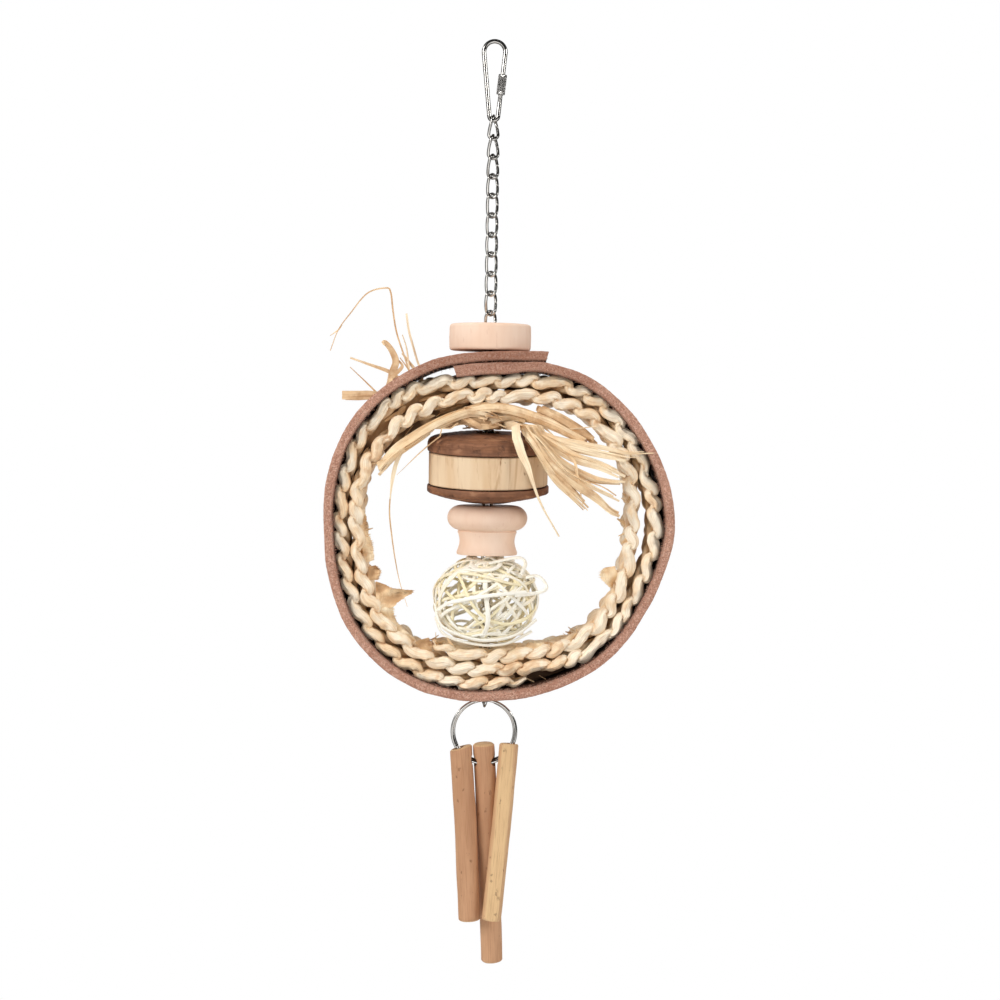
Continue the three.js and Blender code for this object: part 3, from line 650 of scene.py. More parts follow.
def beadSkin():
    b = bead
    foot = rounded([(b["bore"], b["boreLow"], 0), (b["bore"], 0, b["boreEdge"]), (b["foot"], 0, b["footEdge"])])
    height = np.linspace(b["waistFrom"], b["collarAt"], b["waistSteps"])
    part = height / b["collarAt"]
    waist = b["foot"] * (1 - part) + b["collar"] * part - b["dip"] * np.sin(np.pi * part ** 1.1) ** 1.2
    middle = (b["collarAt"] + b["height"]) / 2
    bulge = b["radius"] - b["top"]
    angle = np.linspace(-math.acos((b["collar"] - b["top"]) / bulge), np.pi / 2, b["swellSteps"])[1:]
    swell = np.stack([
        b["top"] + bulge * np.cos(angle), middle + (b["height"] - b["collarAt"]) / 2 * np.sin(angle),
    ], 1)
    outline = np.vstack([np.stack([waist, height], 1), swell])
    fine = np.linspace(0, len(outline) - 1, b["fineSteps"])
    outline = np.stack([np.interp(fine, range(len(outline)), outline[:, i]) for i in (0, 1)], 1)
    outline[:, 0] -= b["grooveDepth"] * np.exp(-((outline[:, 1] - b["grooveAt"]) / b["grooveWidth"]) ** 2 * 3)
    lid = rounded([(b["bore"], b["height"], b["boreEdge"]), (b["bore"], b["boreHigh"], 0)])
    skin = Skin()
    skin.turn(np.vstack([foot[:-4], outline, lid]), b["segments"])  # the waist takes over from the foot's last steps
    return skin.shift((0, 0, boxes["turned_bead"][0][2]))


makePiece("wood_disc", discSkin(), turnedWood, "disc", ["top_disc"])
makePiece("wood_bead", beadSkin(), turnedWood, "bead", ["turned_bead"])


# Leaning stack: pine slice between two coconut shells

stack = dict(tilt=5.0, slice=25.7, sliceHeight=13.8, sliceEdge=0.55, boreEdge=0.3, dent=0.35, inset=0.12,
             shell=26.3, shellThick=3.4, sag=5.0, play=0.3, bore=4.8, steps=26, segments=140, sliceSegments=120)
shells = dict(cap=dict(side=1, edge=5.8, rounding=2.5, fullness=2.6, seed=3.1),
              cup=dict(side=-1, edge=3.4, rounding=0.7, fullness=1.6, seed=8.4))
stackPlace = np.array(joints["slice_spin"]["pos_m"]) / mm


def leanStack(skin):
    lean = turnX(stack["tilt"])
    skin.points = [p @ lean.T + stackPlace for p in skin.points]
    return skin


def sliceSkin():
    s = stack
    half = s["sliceHeight"] / 2
    ends = rounded([
        (s["bore"], -half, s["boreEdge"]), (s["slice"], -half, s["sliceEdge"]),
        (s["slice"], half, s["sliceEdge"]), (s["bore"], half, s["boreEdge"]),
    ])
    wall = np.linspace(1 - half, half - 1, 14)
    profile = np.vstack([ends[ends[:, 1] < 0], np.stack([0 * wall + s["slice"], wall], 1), ends[ends[:, 1] > 0]])
    skin = Skin()
    skin.turn(profile, s["sliceSegments"], np.where(np.abs(profile[:, 1]) > half - 0.5, 1.0, 0.5))
    points = skin.points[0]
    out = unit(points * [1, 1, 0])
    dent = np.array([noise.noise(Vector((2.2 * u[0], 2.2 * u[1], 0.02 * p[2]))) for u, p in zip(out, points)])
    wide = points[:, 0] ** 2 + points[:, 1] ** 2 > 400
    skin.points[0] = points + out * (s["dent"] * dent * wide)[:, None] - out * s["inset"]
    return leanStack(skin)


def shellSkin(side, edge, rounding, fullness, seed):
    s = stack
    level = s["sliceHeight"] / 2 + s["play"]
    height = s["shellThick"] + s["sag"]
    outer = np.linspace(s["shell"] - rounding - 0.1, s["bore"], s["steps"])
    over = np.stack([outer, level + height - (height - edge) * (outer / s["shell"]) ** fullness], 1)
    inner = np.linspace(s["bore"], s["shell"] - 1.2, s["steps"])
    under = np.stack([inner, level + s["sag"] * (1 - (inner / s["shell"]) ** 2)], 1)
    rim = rounded([
        (s["shell"] - 1, level, 0), (s["shell"], level + 0.2, 0.6), (s["shell"], level + edge, rounding),
        (*over[0], 0),
    ])[1:-1]
    tone = np.concatenate([0 * outer, 0 * inner, 0.3 * (rim[:, 1] < level + 1.2)])
    skin = Skin()
    skin.turn(np.vstack([over, under, rim]), s["segments"], tone)
    points = skin.points[0]
    ripple = np.array([
        0.35 * noise.noise(Vector(p) * 0.16 + Vector((seed, 0, 0))) + 0.16 * noise.noise(Vector(p) * 0.7)
        for p in points
    ])
    upper = np.tile(np.concatenate([outer > 0, inner < 0, rim[:, 1] > level + 1.5]), s["segments"])
    points[:, 2] += np.where(upper, ripple - 0.25, 0)
    out = unit(points * [1, 1, 0])
    ragged = np.array([noise.noise(Vector((1.6 * u[0], 1.6 * u[1], seed))) for u in out])
    far = np.hypot(points[:, 0], points[:, 1]) > s["shell"] - 3
    points -= out * (far * (0.05 + 0.25 * np.abs(ragged)))[:, None]
    points[:, 2] *= side
    return leanStack(skin)


makePiece("pine_slice", sliceSkin(), pine, "slice", ["wood_slice"])
for name, shape in shells.items():
    makePiece(f"shell_{name}", shellSkin(**shape), coconut, name, [f"coconut_{name}"], 60)
print("wood and shells made")


# Leather hoop: one strip, its ends lapped at the top, holed for the chain

hoop = dict(radius=74.4, shift=5.2, middle=-205.83, thickness=4.2, width=35, lap=0.5, outerEnd=75, innerEnd=467,
            stepIn=(420, 436), swell=1.0, swellAt=(438, 450), edge=0.8, hole=3.5, steps=560)
# how far the outside wanders from the radius, by angle along the strip
hoop["wander"] = np.array((
    (75, 1.4), (82, -0.2), (90, -1.2), (100, -0.9), (110, 0.2), (120, 0.8), (130, 1.5), (145, 2.1),
    (157, 1.6), (170, 0.6), (185, -0.3), (195, 0.5), (212, 2.8), (230, 3.8), (245, 3.1), (257, 1.7),
    (270, -0.2), (292, -1), (308, -1), (330, -2.5), (342, -2), (360, -0.5), (380, -1), (392, -1.5),
    (410, -1.4), (420, -1.6),
))
hoopZ = hoop["middle"]


def onHoop(radius, degrees, y):
    angle = np.radians(degrees)
    return np.stack([hoop["shift"] + radius * np.cos(angle), y + 0 * angle, hoopZ + radius * np.sin(angle)], -1)


def hoopOutward(degrees):
    return onHoop(1.0, degrees, 0.0) - onHoop(0.0, degrees, 0.0)


# a smooth reading between the places of a table
def reading(table, at):
    places, values = table.T
    slopes = np.gradient(values, places)
    slopes[1:-1] = (values[2:] - values[:-2]) / (places[2:] - places[:-2])
    at = np.clip(at, places[0], places[-1])
    i = np.clip(np.searchsorted(places, at, "right") - 1, 0, len(places) - 2)
    span = places[i + 1] - places[i]
    t = (at - places[i]) / span
    pull = slopes[i] * t * (1 - t) ** 2 - slopes[i + 1] * t * t * (1 - t)
    return values[i] + (values[i + 1] - values[i]) * t * t * (3 - 2 * t) + span * pull


def leatherRadius(degrees):
    h = hoop
    inner = reading(h["wander"], degrees - 360) - h["thickness"] - h["lap"]
    outer = reading(h["wander"], degrees)
    return h["radius"] - h["thickness"] / 2 + outer + (inner - outer) * smoothstep(*h["stepIn"], degrees)


def leatherSkin():
    h = hoop
    a, b, e = h["thickness"] / 2, h["width"] / 2, h["edge"]
    face = np.linspace(e - b, b - e, 15)
    cutEdge = np.linspace(a - e, e - a, 5)
    bend = np.linspace(0, np.pi / 2, 4)[1:-1]
    half = [(a, y) for y in face]
    half += [(a - e + e * math.cos(t), b - e + e * math.sin(t)) for t in bend]
    half += [(d, b) for d in cutEdge]
    half += [(e - a - e * math.sin(t), b - e + e * math.cos(t)) for t in bend]
    section = np.concatenate([half, -np.array(half)])
    depth, across = section.T
    tones = np.repeat((0, 0.3, 0.5, 0.6, 1, 0.6, 0.5, 0.3), [len(face), len(bend), len(cutEdge), len(bend)] * 2)
    # the inner part of the cut edge takes a tone at the edge of the flesh step, so noise paints a ragged near-black
    # border there: painted shade
    tones = np.where((tones == 0.5) & (depth < -0.4 * a), 0.58, tones)
    edges, border = tones > 0.2, np.abs(across) > b - 1.5

    def bumps(size, place):
        return size * np.array([noise.noise(Vector(place(d, y))) for d, y in section])

    rings = []
    for angle in np.linspace(h["outerEnd"], h["innerEnd"], h["steps"]):
        run = angle * 1.27  # millimetres along the strip
        lift = bumps(0.32, lambda d, y: (0.1 * run, 0.09 * y, d)) + bumps(0.11, lambda d, y: (0.7 * run, 0.7 * y, d))
        slide = bumps(0.4, lambda d, y: (0.16 * run, 3, 0.2 * y)) + bumps(0.17, lambda d, y: (1.1 * run, d, y))
        ragged = bumps(0.55, lambda d, y: (0.35 * y, 1.1 * d, 4 if angle > 200 else 9))
        d = depth + lift * (1 - 0.4 * edges) - h["swell"] * smoothstep(*h["swellAt"], angle) * (depth < 0)
        nearEnd = min(angle - h["outerEnd"], h["innerEnd"] - angle) < 1.2
        rings.append(onHoop(leatherRadius(angle) + d, angle + ragged * nearEnd, across + slide * border))
    skin = Skin()
    skin.loft(rings, np.broadcast_to(tones, (len(rings), len(section))))
    return skin


def chainHole(low, high, radius):
    tool = Skin()
    tool.sweep([(0, 0, low), (0, 0, (low + high) / 2), (0, 0, high)], (1, 0, 0), radius, radius, 28, 0.8)
    return tool


# short loose fibres along the cut edges: share of them in front, and of those on the flesh side
nap = dict(count=3600, front=0.6, flesh=0.45, thick=0.08, length=(0.4, 1.3), curl=0.35, seed=11)


def napSkin():
    h, n = hoop, nap
    rng = np.random.default_rng(n["seed"])
    t = np.linspace(0, 1, 4)[:, None]
    thick = n["thick"] * (1 - 0.7 * t[:, 0])
    skin = Skin()
    for i in range(n["count"]):
        angle = rng.uniform(h["outerEnd"], h["innerEnd"])
        side = -1 if rng.random() < n["front"] else 1
        d = rng.uniform(-1, 1) * h["thickness"] / 2
        inner = rng.random() < n["flesh"]
        d = -h["thickness"] / 2 if inner else d
        inset = rng.uniform(0, 2.5) if inner else 0.25
        root = onHoop(leatherRadius(angle) + d, angle, side * (h["width"] / 2 - inset))
        out = hoopOutward(angle)
        along = np.array([-out[2], 0, out[0]]) * rng.normal(0, 1)
        lean = unit(along + np.array([0, side * (0.3 if inner else 1.0), 0]) - out * (0.9 if inner else 0.1))
        curl = unit(rng.normal(0, 1, 3))
        length = rng.uniform(*n["length"])
        path = root + lean * length * t + curl * n["curl"] * length * t ** 2
        skin.sweep(path, curl + [0.01, 0.02, 0.03], thick, thick, 3, rng.uniform(0.2, 0.45))
    return skin


holes = [chainHole(hoopZ - 90, hoopZ - 55, hoop["hole"]), chainHole(hoopZ + 55, hoopZ + 90, hoop["hole"])]
strip = cutOut("leather_strip", leatherSkin(), *holes)
makePiece("leather_strip", strip, leather, "hoop", ["leather_hoop"], 50)
makePiece("leather_nap", napSkin(), leather, "hoop")
print("leather made")


# Plaited leaf coil: three leaf strands, plaited flat and wound into a spiral on edge

plait = dict(thickness=4.8, start=-0.12, end=8.32, pitch=29.4, sway=6.4, lift=0.8, thick=1.9, across=4.6,
             linger=0.75, steps=2400, every=3, sides=16)
# the folds along both edges of the plait: a cord that swings out and in once for each strand that turns back
folds = dict(swing=1.2, slow=0.64, thick=2.2, deep=3.3, place=11.6, pinch=0.08, pinchWidth=0.12, crease=0.19,
             creaseWidth=0.045, hug=0.6, sides=20)
# how far the outside wanders inward from turns that lie against each other, by quarter turns
plait["wander"] = np.array((
    (-0.12, 1.34), (0, 0.7), (0.15, -1.18), (0.3, -2.96), (0.45, -3.54), (0.6, -2.72), (0.75, -1.5),
    (0.9, -0.28), (1.05, -0.66), (1.2, -1.84), (1.35, -2.92), (1.5, -2.6), (1.64, -0.97), (1.72, 1.04),
    (1.8, 3.24), (1.89, 4.53), (2, 5.2), (2.15, 2.92), (2.3, 0.24), (2.45, -1.04), (2.6, -0.82),
    (2.75, -0.5), (2.9, -1.08), (3.05, -1.56), (3.2, -0.74), (3.35, -0.72), (3.5, -1.9), (3.65, -1.28),
    (3.76, 0.19), (3.86, 1.77), (4, 1.5), (4.15, -0.18), (4.3, -1.66), (4.45, -1.84), (4.6, -1.52),
    (4.75, -0.2), (4.9, 1.22), (5.05, 0.54), (5.2, -0.44), (5.35, 0.48), (5.5, 1.6), (5.65, 2.82),
    (5.8, 4.34), (5.9, 5.82), (6, 6.6), (6.1, 5.58), (6.22, 3.24), (6.37, 1.06), (6.52, -0.02),
    (6.67, 0.4), (6.82, 1.22), (6.97, 2.84), (7.12, 2.66), (7.27, 1.28), (7.42, -0.1), (7.57, -0.88),
    (7.72, 0.24), (7.86, 2.37), (8, 2.1), (8.15, 0.92), (8.32, -0.38),
))


def plaitRadius(quarters):
    turnsIn = plait["thickness"] * (0.5 + quarters / 4)
    return hoop["radius"] - hoop["thickness"] - turnsIn - reading(plait["wander"], quarters)


def plaitSkin():
    p, f = plait, folds
    quarters = np.linspace(p["start"], p["end"], p["steps"])
    radius = plaitRadius(quarters)
    degrees = 270 - 90 * quarters
    middle = onHoop(radius, degrees, 0.0)
    run = np.concatenate([[0], np.cumsum(np.linalg.norm(np.diff(middle, axis=0), axis=1))])
    out = unit(onHoop(radius + 1, degrees, 0.0) - middle)
    ends = np.minimum(1, 0.25 + 0.06 * np.minimum(run, run[-1] - run))

    def drift(scale, seed):
        return np.array([noise.noise(Vector((scale * r, 3.1 * seed, 5 + seed))) for r in run])

    def crumple(phi, seed):
        around = [(1.7 * math.cos(a), 1.7 * math.sin(a) + 9 * seed) for a in phi]
        return np.array([[noise.noise(Vector((0.34 * r, *place))) for place in around] for r in run])

    skin = Skin()
    every = slice(None, None, p["every"])
    for strand in range(3):
        turn = 2 * np.pi * (run / p["pitch"] + strand / 3)
        path = middle - out * (p["lift"] * np.sin(2 * turn))[:, None]
        path[:, 1] += p["sway"] * np.sign(np.sin(turn)) * np.abs(np.sin(turn)) ** p["linger"]
        size = (0.9 + 0.15 * np.sin(turn) ** 2) * ends
        lean = out * np.cos(0.5 * np.cos(turn))[:, None]
        lean[:, 1] += np.sin(0.5 * np.cos(turn))
        tone = np.clip(0.5 + 0.5 * drift(0.03, strand), 0, 0.85)
        thick, across = p["thick"] * size, p["across"] * size
        skin.sweep(path[every], lean[every], thick[every], across[every], p["sides"], tone[every], 0.9)
    slow = f["slow"]
    low = np.cos(np.pi * quarters / 4) ** 4  # 1 at the foot of the hoop
    hug = f["hug"] * (1 - smoothstep(3.6, 4, quarters))
    phi = 2 * np.pi * (np.arange(f["sides"]) + 0.5) / f["sides"]
    for edge in (-1, 1):
        step = run / (p["pitch"] / 3) + 0.55 * drift(0.06, 11 + edge)
        lobe, share = np.floor(step), step % 1
        wave = np.where(share < slow, np.cos(np.pi * share / slow), -np.cos(np.pi * (share - slow) / (1 - slow)))
        back = np.exp(-((share - (1 + slow) / 2) / f["pinchWidth"]) ** 2)
        swing = f["swing"] * (1 + 0.5 * drift(0.07, 21 + edge) - 0.3 * low)
        path = middle + out * (edge * swing * wave + hug)[:, None]
        path[:, 1] += edge * (f["place"] - 0.35 * back + 0.5 * drift(0.1, 31 + edge))
        size = (1 - f["pinch"] * back + 0.25 * drift(0.11, 41 + edge) + 0.08 * low) * ends
        crumpled = crumple(phi, 51 + edge)
        apart = (share[:, None] - (1 + slow) / 2 + edge * (1 - slow) / 2 * np.cos(phi) + 0.5) % 1 - 0.5
        crease = np.exp(-(apart / f["creaseWidth"]) ** 2)
        ridge = 0.06 * np.cos(5 * phi + 2.2 * edge * share[:, None]) + 0.05 * np.cos(9 * phi - 0.2 * run[:, None])
        shade = np.array([noise.noise(Vector((3.7 * k, 9.1, 2.3 * edge))) for k in lobe])
        brown = 0.24 + 0.45 * drift(0.03, 61 + edge) + 0.45 * shade
        # the tone rises in each crease, painting the groove darker: painted shade in the crease
        tone = np.clip(brown[:, None] + 0.5 * crumpled + 0.5 * crease, 0, 0.85)
        relief = 1 + ridge + 0.28 * crumpled - (f["crease"] * (1 + 0.5 * low))[:, None] * crease
        skin.sweep(path, out, f["thick"] * size, f["deep"] * size, f["sides"], tone, 0.9, relief)
    return skin


# torn leaf ends that stand away from the coil: quarter turn, reach inward, width, count
frays = dict(seed=21, thick=0.13, root=1.2, spots=(
    (8.3, 4, 3.0, 5), (7.05, 5, 3.6, 4), (5.2, 3, 2.0, 4), (4.92, 4, 2.6, 5), (7.3, 3, 2.0, 5),
    (7.62, 4, 2.4, 6), (6.85, 4, 2.2, 4), (8.02, 3, 2.4, 5), (-0.1, -3, 2.2, 5), (4.6, 4, 2.2, 5),
))
# leaf that fills between two turns: quarter turns from and to, strips, depth of the first, inner or outer side; these
# strips are painted near-black, painted shade between the turns
gapLeaf = dict(space=8.4, apart=2.2, thick=0.2, runs=(
    (0.95, 1.98, 5, -3.0, 1), (2.02, 2.55, 4, -3.0, 1), (0.1, 0.7, 3, -1.0, 1), (3.2, 3.9, 3, -2.0, 1),
    (5.34, 6.02, 5, -3.0, 1), (3.5, 4.02, 5, -5.0, -1), (2.3, 3.4, 4, -2.0, -1),
), scraps=((1.02, 1.95, 16), (5.36, 6.0, 12), (3.3, 3.8, 5), (0.2, 0.6, 5)))
# torn leaf sheets on the inner turn, each between a base line and a ragged edge, as x and z
sheetForm = dict(steps=60, rows=9, jag=1.2, fold=4.0, foldScale=0.2, thick=0.35)
tornSheets = (
    dict(base=((-46.9, -231), (-46.8, -233.8), (-46.5, -237.2), (-45.6, -240), (-43.9, -242.3)),
         edge=((-45.2, -231.2), (-39, -233.4), (-30.7, -234.7), (-36, -238.5), (-39.1, -241.6)),
         depth=-12.4, curl=-2.2, tone=0.7),
    dict(base=((-50.1, -224.8), (-49.8, -227.3), (-49.5, -230.5)),
         edge=((-47, -224.2), (-44.7, -226.7), (-45.8, -230.4)), depth=-12.0, curl=1.5, tone=0.85),
    dict(base=((-47.4, -235.5), (-46.8, -241.8), (-43.8, -249.1), (-39.2, -254.7), (-33.5, -258.5)),
         edge=((-41.7, -236), (-39.1, -242.2), (-38.2, -247.9), (-33, -252.3), (-29.5, -255.7)),
         depth=-11.0, curl=1.0, tone=0.35),
    dict(base=((-30.1, -256.2), (-27.8, -259), (-26.6, -261.3)),
         edge=((-23.9, -254.1), (-22.1, -257), (-22.7, -259.8)), depth=-12.6, curl=-1.2, tone=0.95),
    dict(base=((-54.3, -202.2), (-53.6, -210.7), (-52.6, -218.1), (-51.1, -223.2)),
         edge=((-52.3, -199.9), (-50.5, -209.6), (-48.4, -216.3), (-47.7, -222)), depth=-11.0, curl=2.0, tone=0.3),
    dict(base=((54.6, -222.9), (55.4, -227), (53.5, -232.3)),
         edge=((49.7, -223.8), (48.1, -227.1), (51.5, -231.5)), depth=-11.5, curl=1.0, tone=0.55),
    dict(base=((17.1, -258.3), (24.4, -260.7), (30.8, -258.1)),
         edge=((17.8, -256.3), (24.3, -255.8), (28.4, -256.1)), depth=-11.0, curl=1.0, tone=0.5),
)


def addTornEnd(skin, rng, quarters, reach, width):
    spot = quarters + rng.normal(0, 0.05)
    degrees = 270 - 90 * spot
    y = rng.uniform(-13.5, 5)
    root = onHoop(float(plaitRadius(np.array(spot))) - frays["root"] * np.sign(reach), degrees, y)
    inward = -unit(hoopOutward(degrees)) * np.sign(reach)
    along = np.cross(inward, (0, 1, 0)) * rng.choice([-1, 1])
    length = abs(reach) * rng.uniform(0.5, 1.15)
    t = np.linspace(0, 1, 9)[:, None]
    heading = unit(along * rng.uniform(0.4, 1.3) + inward * rng.uniform(0.4, 1.1) + [0, rng.normal(0, 0.3), 0])
    curl = unit(inward + rng.normal(0, 0.5, 3))
    path = root - heading * 1.5 + heading * (length + 1.5) * t + curl * 0.4 * length * t ** 2
    size = width * rng.uniform(0.4, 1.0) / 2 * (1 - 0.75 * t[:, 0] ** 1.6)
    skin.sweep(path, curl + [0, 0.4, 0], frays["thick"], size, 6, rng.uniform(0.3, 0.85), 0.7)


# the radii of a turn and of the next one inside it
def gapRadii(turns, end):
    outer = plaitRadius(turns)
    return outer, plaitRadius(turns + 4) if end + 4 < plait["end"] else outer - gapLeaf["space"]


def addGapStrip(skin, rng, start, end, depth, side, first):
    turns = np.linspace(start, end, 40)
    outer, inner = gapRadii(turns, end)
    if side < 0:
        outer, inner = leatherRadius(270 - 90 * turns + 360 * (turns > 2.1)) - hoop["thickness"] / 2, outer
    share = rng.uniform(0.35, 0.65)
    path = onHoop(outer * share + inner * (1 - share), 270 - 90 * turns, depth)
    path += wobble(path, 0.08, 1.0, rng.uniform(0, 50))
    half = np.maximum(0.5 * (outer - inner) - 0.6, 0.8) * rng.uniform(0.75, 1.0)
    half *= 0.2 + 0.8 * smoothstep(0, 0.12, np.minimum(turns - start, end - turns))
    patches = wobble(path, 0.15, 0.3, rng.uniform(0, 50))[:, 0]
    # tone 1 paints the strip near-black, painted shade between the turns; only the first strip on the inner side keeps
    # brown patches
    brown = np.clip(0.9 + patches, 0.5, 1.0) if side > 0 and first else 1.0
    skin.sweep(path, (0, 1, 0), gapLeaf["thick"], half, 8, brown, 0.75)


def addScrap(skin, rng, start, end):
    turns = np.linspace(0, rng.uniform(0.05, 0.11), 9) + rng.uniform(start, end)
    outer, inner = gapRadii(turns, end)
    share = rng.uniform(0.25, 0.75) + rng.uniform(-0.2, 0.2) * np.linspace(-1, 1, 9)
    path = onHoop(outer * share + inner * (1 - share), 270 - 90 * turns, rng.uniform(-8, -4))
    size = rng.uniform(0.5, 1.3) * np.sin(np.linspace(0.5, 2.9, 9))
    skin.sweep(path, unit(rng.normal(0, 1, 3)), gapLeaf["thick"], size, 6, rng.uniform(0.6, 0.95), 0.75)


def addSheet(skin, base, edge, depth, curl, tone):
    s = sheetForm
    base, edge = (through([(x, 0, z) for x, z in line], s["steps"]) for line in (base, edge))
    jag = [noise.noise(Vector((0.9 * k, depth, 2))) + 0.6 * ((k * 0.37) % 1 - 0.5) for k in range(s["steps"])]
    edge = edge + unit(edge - base) * (s["jag"] * np.array(jag))[:, None]
    across = np.linspace(0, 1, s["rows"])[None, :, None]
    grid = base[:, None] * (1 - across) + edge[:, None] * across
    shift = Vector((depth, 0, 0))
    fold = np.array([[noise.noise(Vector(p) * s["foldScale"] + shift) for p in row] for row in grid])
    grid[..., 1] = depth + s["fold"] * fold + curl * across[..., 0] ** 2
    rings = np.concatenate([grid, grid[:, ::-1] + [0, s["thick"], 0]], 1)
    skin.loft(rings, np.clip(tone + 0.9 * np.concatenate([fold, fold[:, ::-1]], 1), 0, 0.88))


def fraySkin():
    rng = np.random.default_rng(frays["seed"])
    skin = Skin()
    for quarters, reach, width, count in frays["spots"]:
        for i in range(count):
            addTornEnd(skin, rng, quarters, reach, width)
    for start, end, count, depth, side in gapLeaf["runs"]:
        for i in range(count):
            addGapStrip(skin, rng, start, end, depth + gapLeaf["apart"] * i, side, i == 0)
    for start, end, count in gapLeaf["scraps"]:
        for i in range(count):
            addScrap(skin, rng, start, end)
    for sheet in tornSheets:
        addSheet(skin, **sheet)
    return skin


makePiece("plait_strands", plaitSkin(), plaitLeaf, "hoop", ["plait_coil"], 60)
makePiece("plait_frays", fraySkin(), raffia, "hoop")
print("plait made")


# Leaf bow and tuft

bow = dict(knot=-162.6, knotLow=2, knotHigh=3.4, loops=13, loopSteps=44, loose=26, seed=31)
# the shell cap turns under the leaf: nothing nearer the chain than this goes lower than its highest place
capReach = stack["shell"] + 1.2
capTop = stackPlace[2] + stack["sliceHeight"] / 2 + stack["play"] + stack["shellThick"] + stack["sag"] + 0.8
# thickness, the way the flat side faces, places along it, share of width at tip and root, twist, stray, taper
leafStyles = dict(
    fan=dict(thick=0.24, up=(0, 1, 0.4), count=34, root=0.8, twist=0.3),
    front=dict(thick=0.3, up=(0.3, 1, 0), count=48, tip=0.1, root=0.8, twist=0.15, stray=0.3, narrow=0.1),
    bundle=dict(thick=0.42, up=(0.2, 1, 0.2), count=40, tip=0.7, root=0.85, twist=0.5),
    loose=dict(thick=0.2, up=(0.2, 1, 0.2), count=14, tip=0.4, root=0.6, twist=0.5),
    thread=dict(thick=0.2, up=(0, 1, 0), count=40, tip=0.3, root=1.0, twist=0.1, stray=0.2),
    tuft=dict(thick=0.2, up=(0.2, 1, 0.2), root=0.9, twist=0.2, stray=0.25),
)


# a leaf ribbon through a few places, drawn in at both ends, with a slow twist and a fold along it
def ribbon(skin, rng, points, width, tone, thick, up, count, tip, root, twist, stray=0.5, narrow=0.55):
    path = through(points, count)
    path += wobble(path, 0.06, stray, rng.uniform(0, 50)) * np.linspace(0, 1, count)[:, None]
    over = (np.hypot(path[:, 0], path[:, 1]) < capReach) & (path[:, 2] > capTop - 9)
    path[:, 2] = np.where(over, np.maximum(path[:, 2], capTop + width / 2), path[:, 2])
    t = np.linspace(0, 1, count)
    size = width / 2 * (root + (1 - root) * smoothstep(0, 0.25, t)) * (1 - (1 - tip) * smoothstep(narrow, 1, t))
    swing = rng.normal(0, twist) + twist * np.sin(2 * np.pi * (rng.uniform(0.4, 1.1) * t + rng.random()))
    tangent = unit(np.gradient(path, axis=0))
    base = unit(np.asarray(up, float) - (tangent @ np.asarray(up, float))[:, None] * tangent)
    ups = base * np.cos(swing)[:, None] + np.cross(tangent, base) * np.sin(swing)[:, None]
    phi = 2 * np.pi * (np.arange(8) + 0.5) / 8
    fold = np.broadcast_to(1 + 0.5 * np.cos(2 * phi + 0.4) * np.cos(phi), (count, 8))
    tones = np.clip(tone + 0.25 * wobble(path, 0.05, 1.0, rng.uniform(0, 50))[:, 0], 0, max(tone, 0.84))
    skin.sweep(path, ups, thick * (1 + 0.4 * width / 4), size, 8, tones, 0.75, fold)


# leaves that fan out from the knot: places, width, how many lie together, brownness, share of width at the tip
fan = (
    (((5.8, -5, -163.8), (15.6, -13, -165.2), (26.9, -17, -168.7), (38.9, -18, -170.9), (51.1, -18, -173.1),
      (58.3, -18.5, -174.6), (69.5, -19, -174.4)), 2.0, 3, 0.35, 0.2),
    (((5.9, -5, -164.4), (18.9, -15, -166.8), (30.9, -18.5, -172), (47.1, -18, -176), (57.6, -18, -178.2)),
     2.8, 6, 0.25, 0.4),
    (((6.7, -5, -164.6), (19.8, -18, -167.8), (35, -20, -176.2), (47.1, -18.5, -180), (57.7, -18, -184.7)),
     2.8, 6, 0.3, 0.4),
    (((6.7, -5, -164.8), (19.2, -20.5, -167.8), (31, -22, -178.6), (43.1, -19.5, -184.9), (50.4, -18.5, -186.4),
      (57.7, -18, -187.1)), 2.7, 6, 0.35, 0.3),
    (((7, -5, -164.8), (18, -22.5, -167.8), (31, -23.5, -181.8), (41.5, -20.5, -188.1), (55.4, -19, -195.1)),
     2.5, 5, 0.3, 0.3),
    (((7, -5, -164.8), (16.5, -23.5, -167.8), (27, -25, -182.7), (35.1, -23.5, -190.5), (42.5, -21, -197.7)),
     2.4, 6, 0.4, 0.3),
    (((7, -6, -164.8), (16.5, -24, -167.8), (25.3, -25.5, -179.5), (35.1, -23.5, -187.4), (44.8, -20.5, -193.6),
      (51.4, -19.5, -199.2), (55.5, -19, -201.2)), 2.6, 6, 0.35, 0.5),
    (((26.9, -19, -173.1), (35.7, -21, -177.7), (37.8, -22, -186.5), (40, -22, -196.5)), 1.1, 1, 0.5, 0.3),
    (((35.1, -20, -185), (47.2, -20, -188.8), (54.1, -19.5, -192.7)), 0.6, 1, 0.8, 0.5),
    (((5.8, -5, -162.1), (15.5, -12, -162), (22.8, -14.5, -164.3), (31.7, -17, -171.4)), 1.0, 2, 0.3, 0.4),
    (((10.7, -8, -161.3), (22.8, -14, -162.7), (31.7, -15, -165), (45.4, -15.5, -164)), 0.8, 1, 0.1, 0.4),
    (((9.8, -9, -158.8), (23.6, -12, -161.9), (35, -14, -165.7), (43.1, -15, -168.4), (44.1, -15, -170.3)),
     1.8, 2, 0.75, 0.4),
)
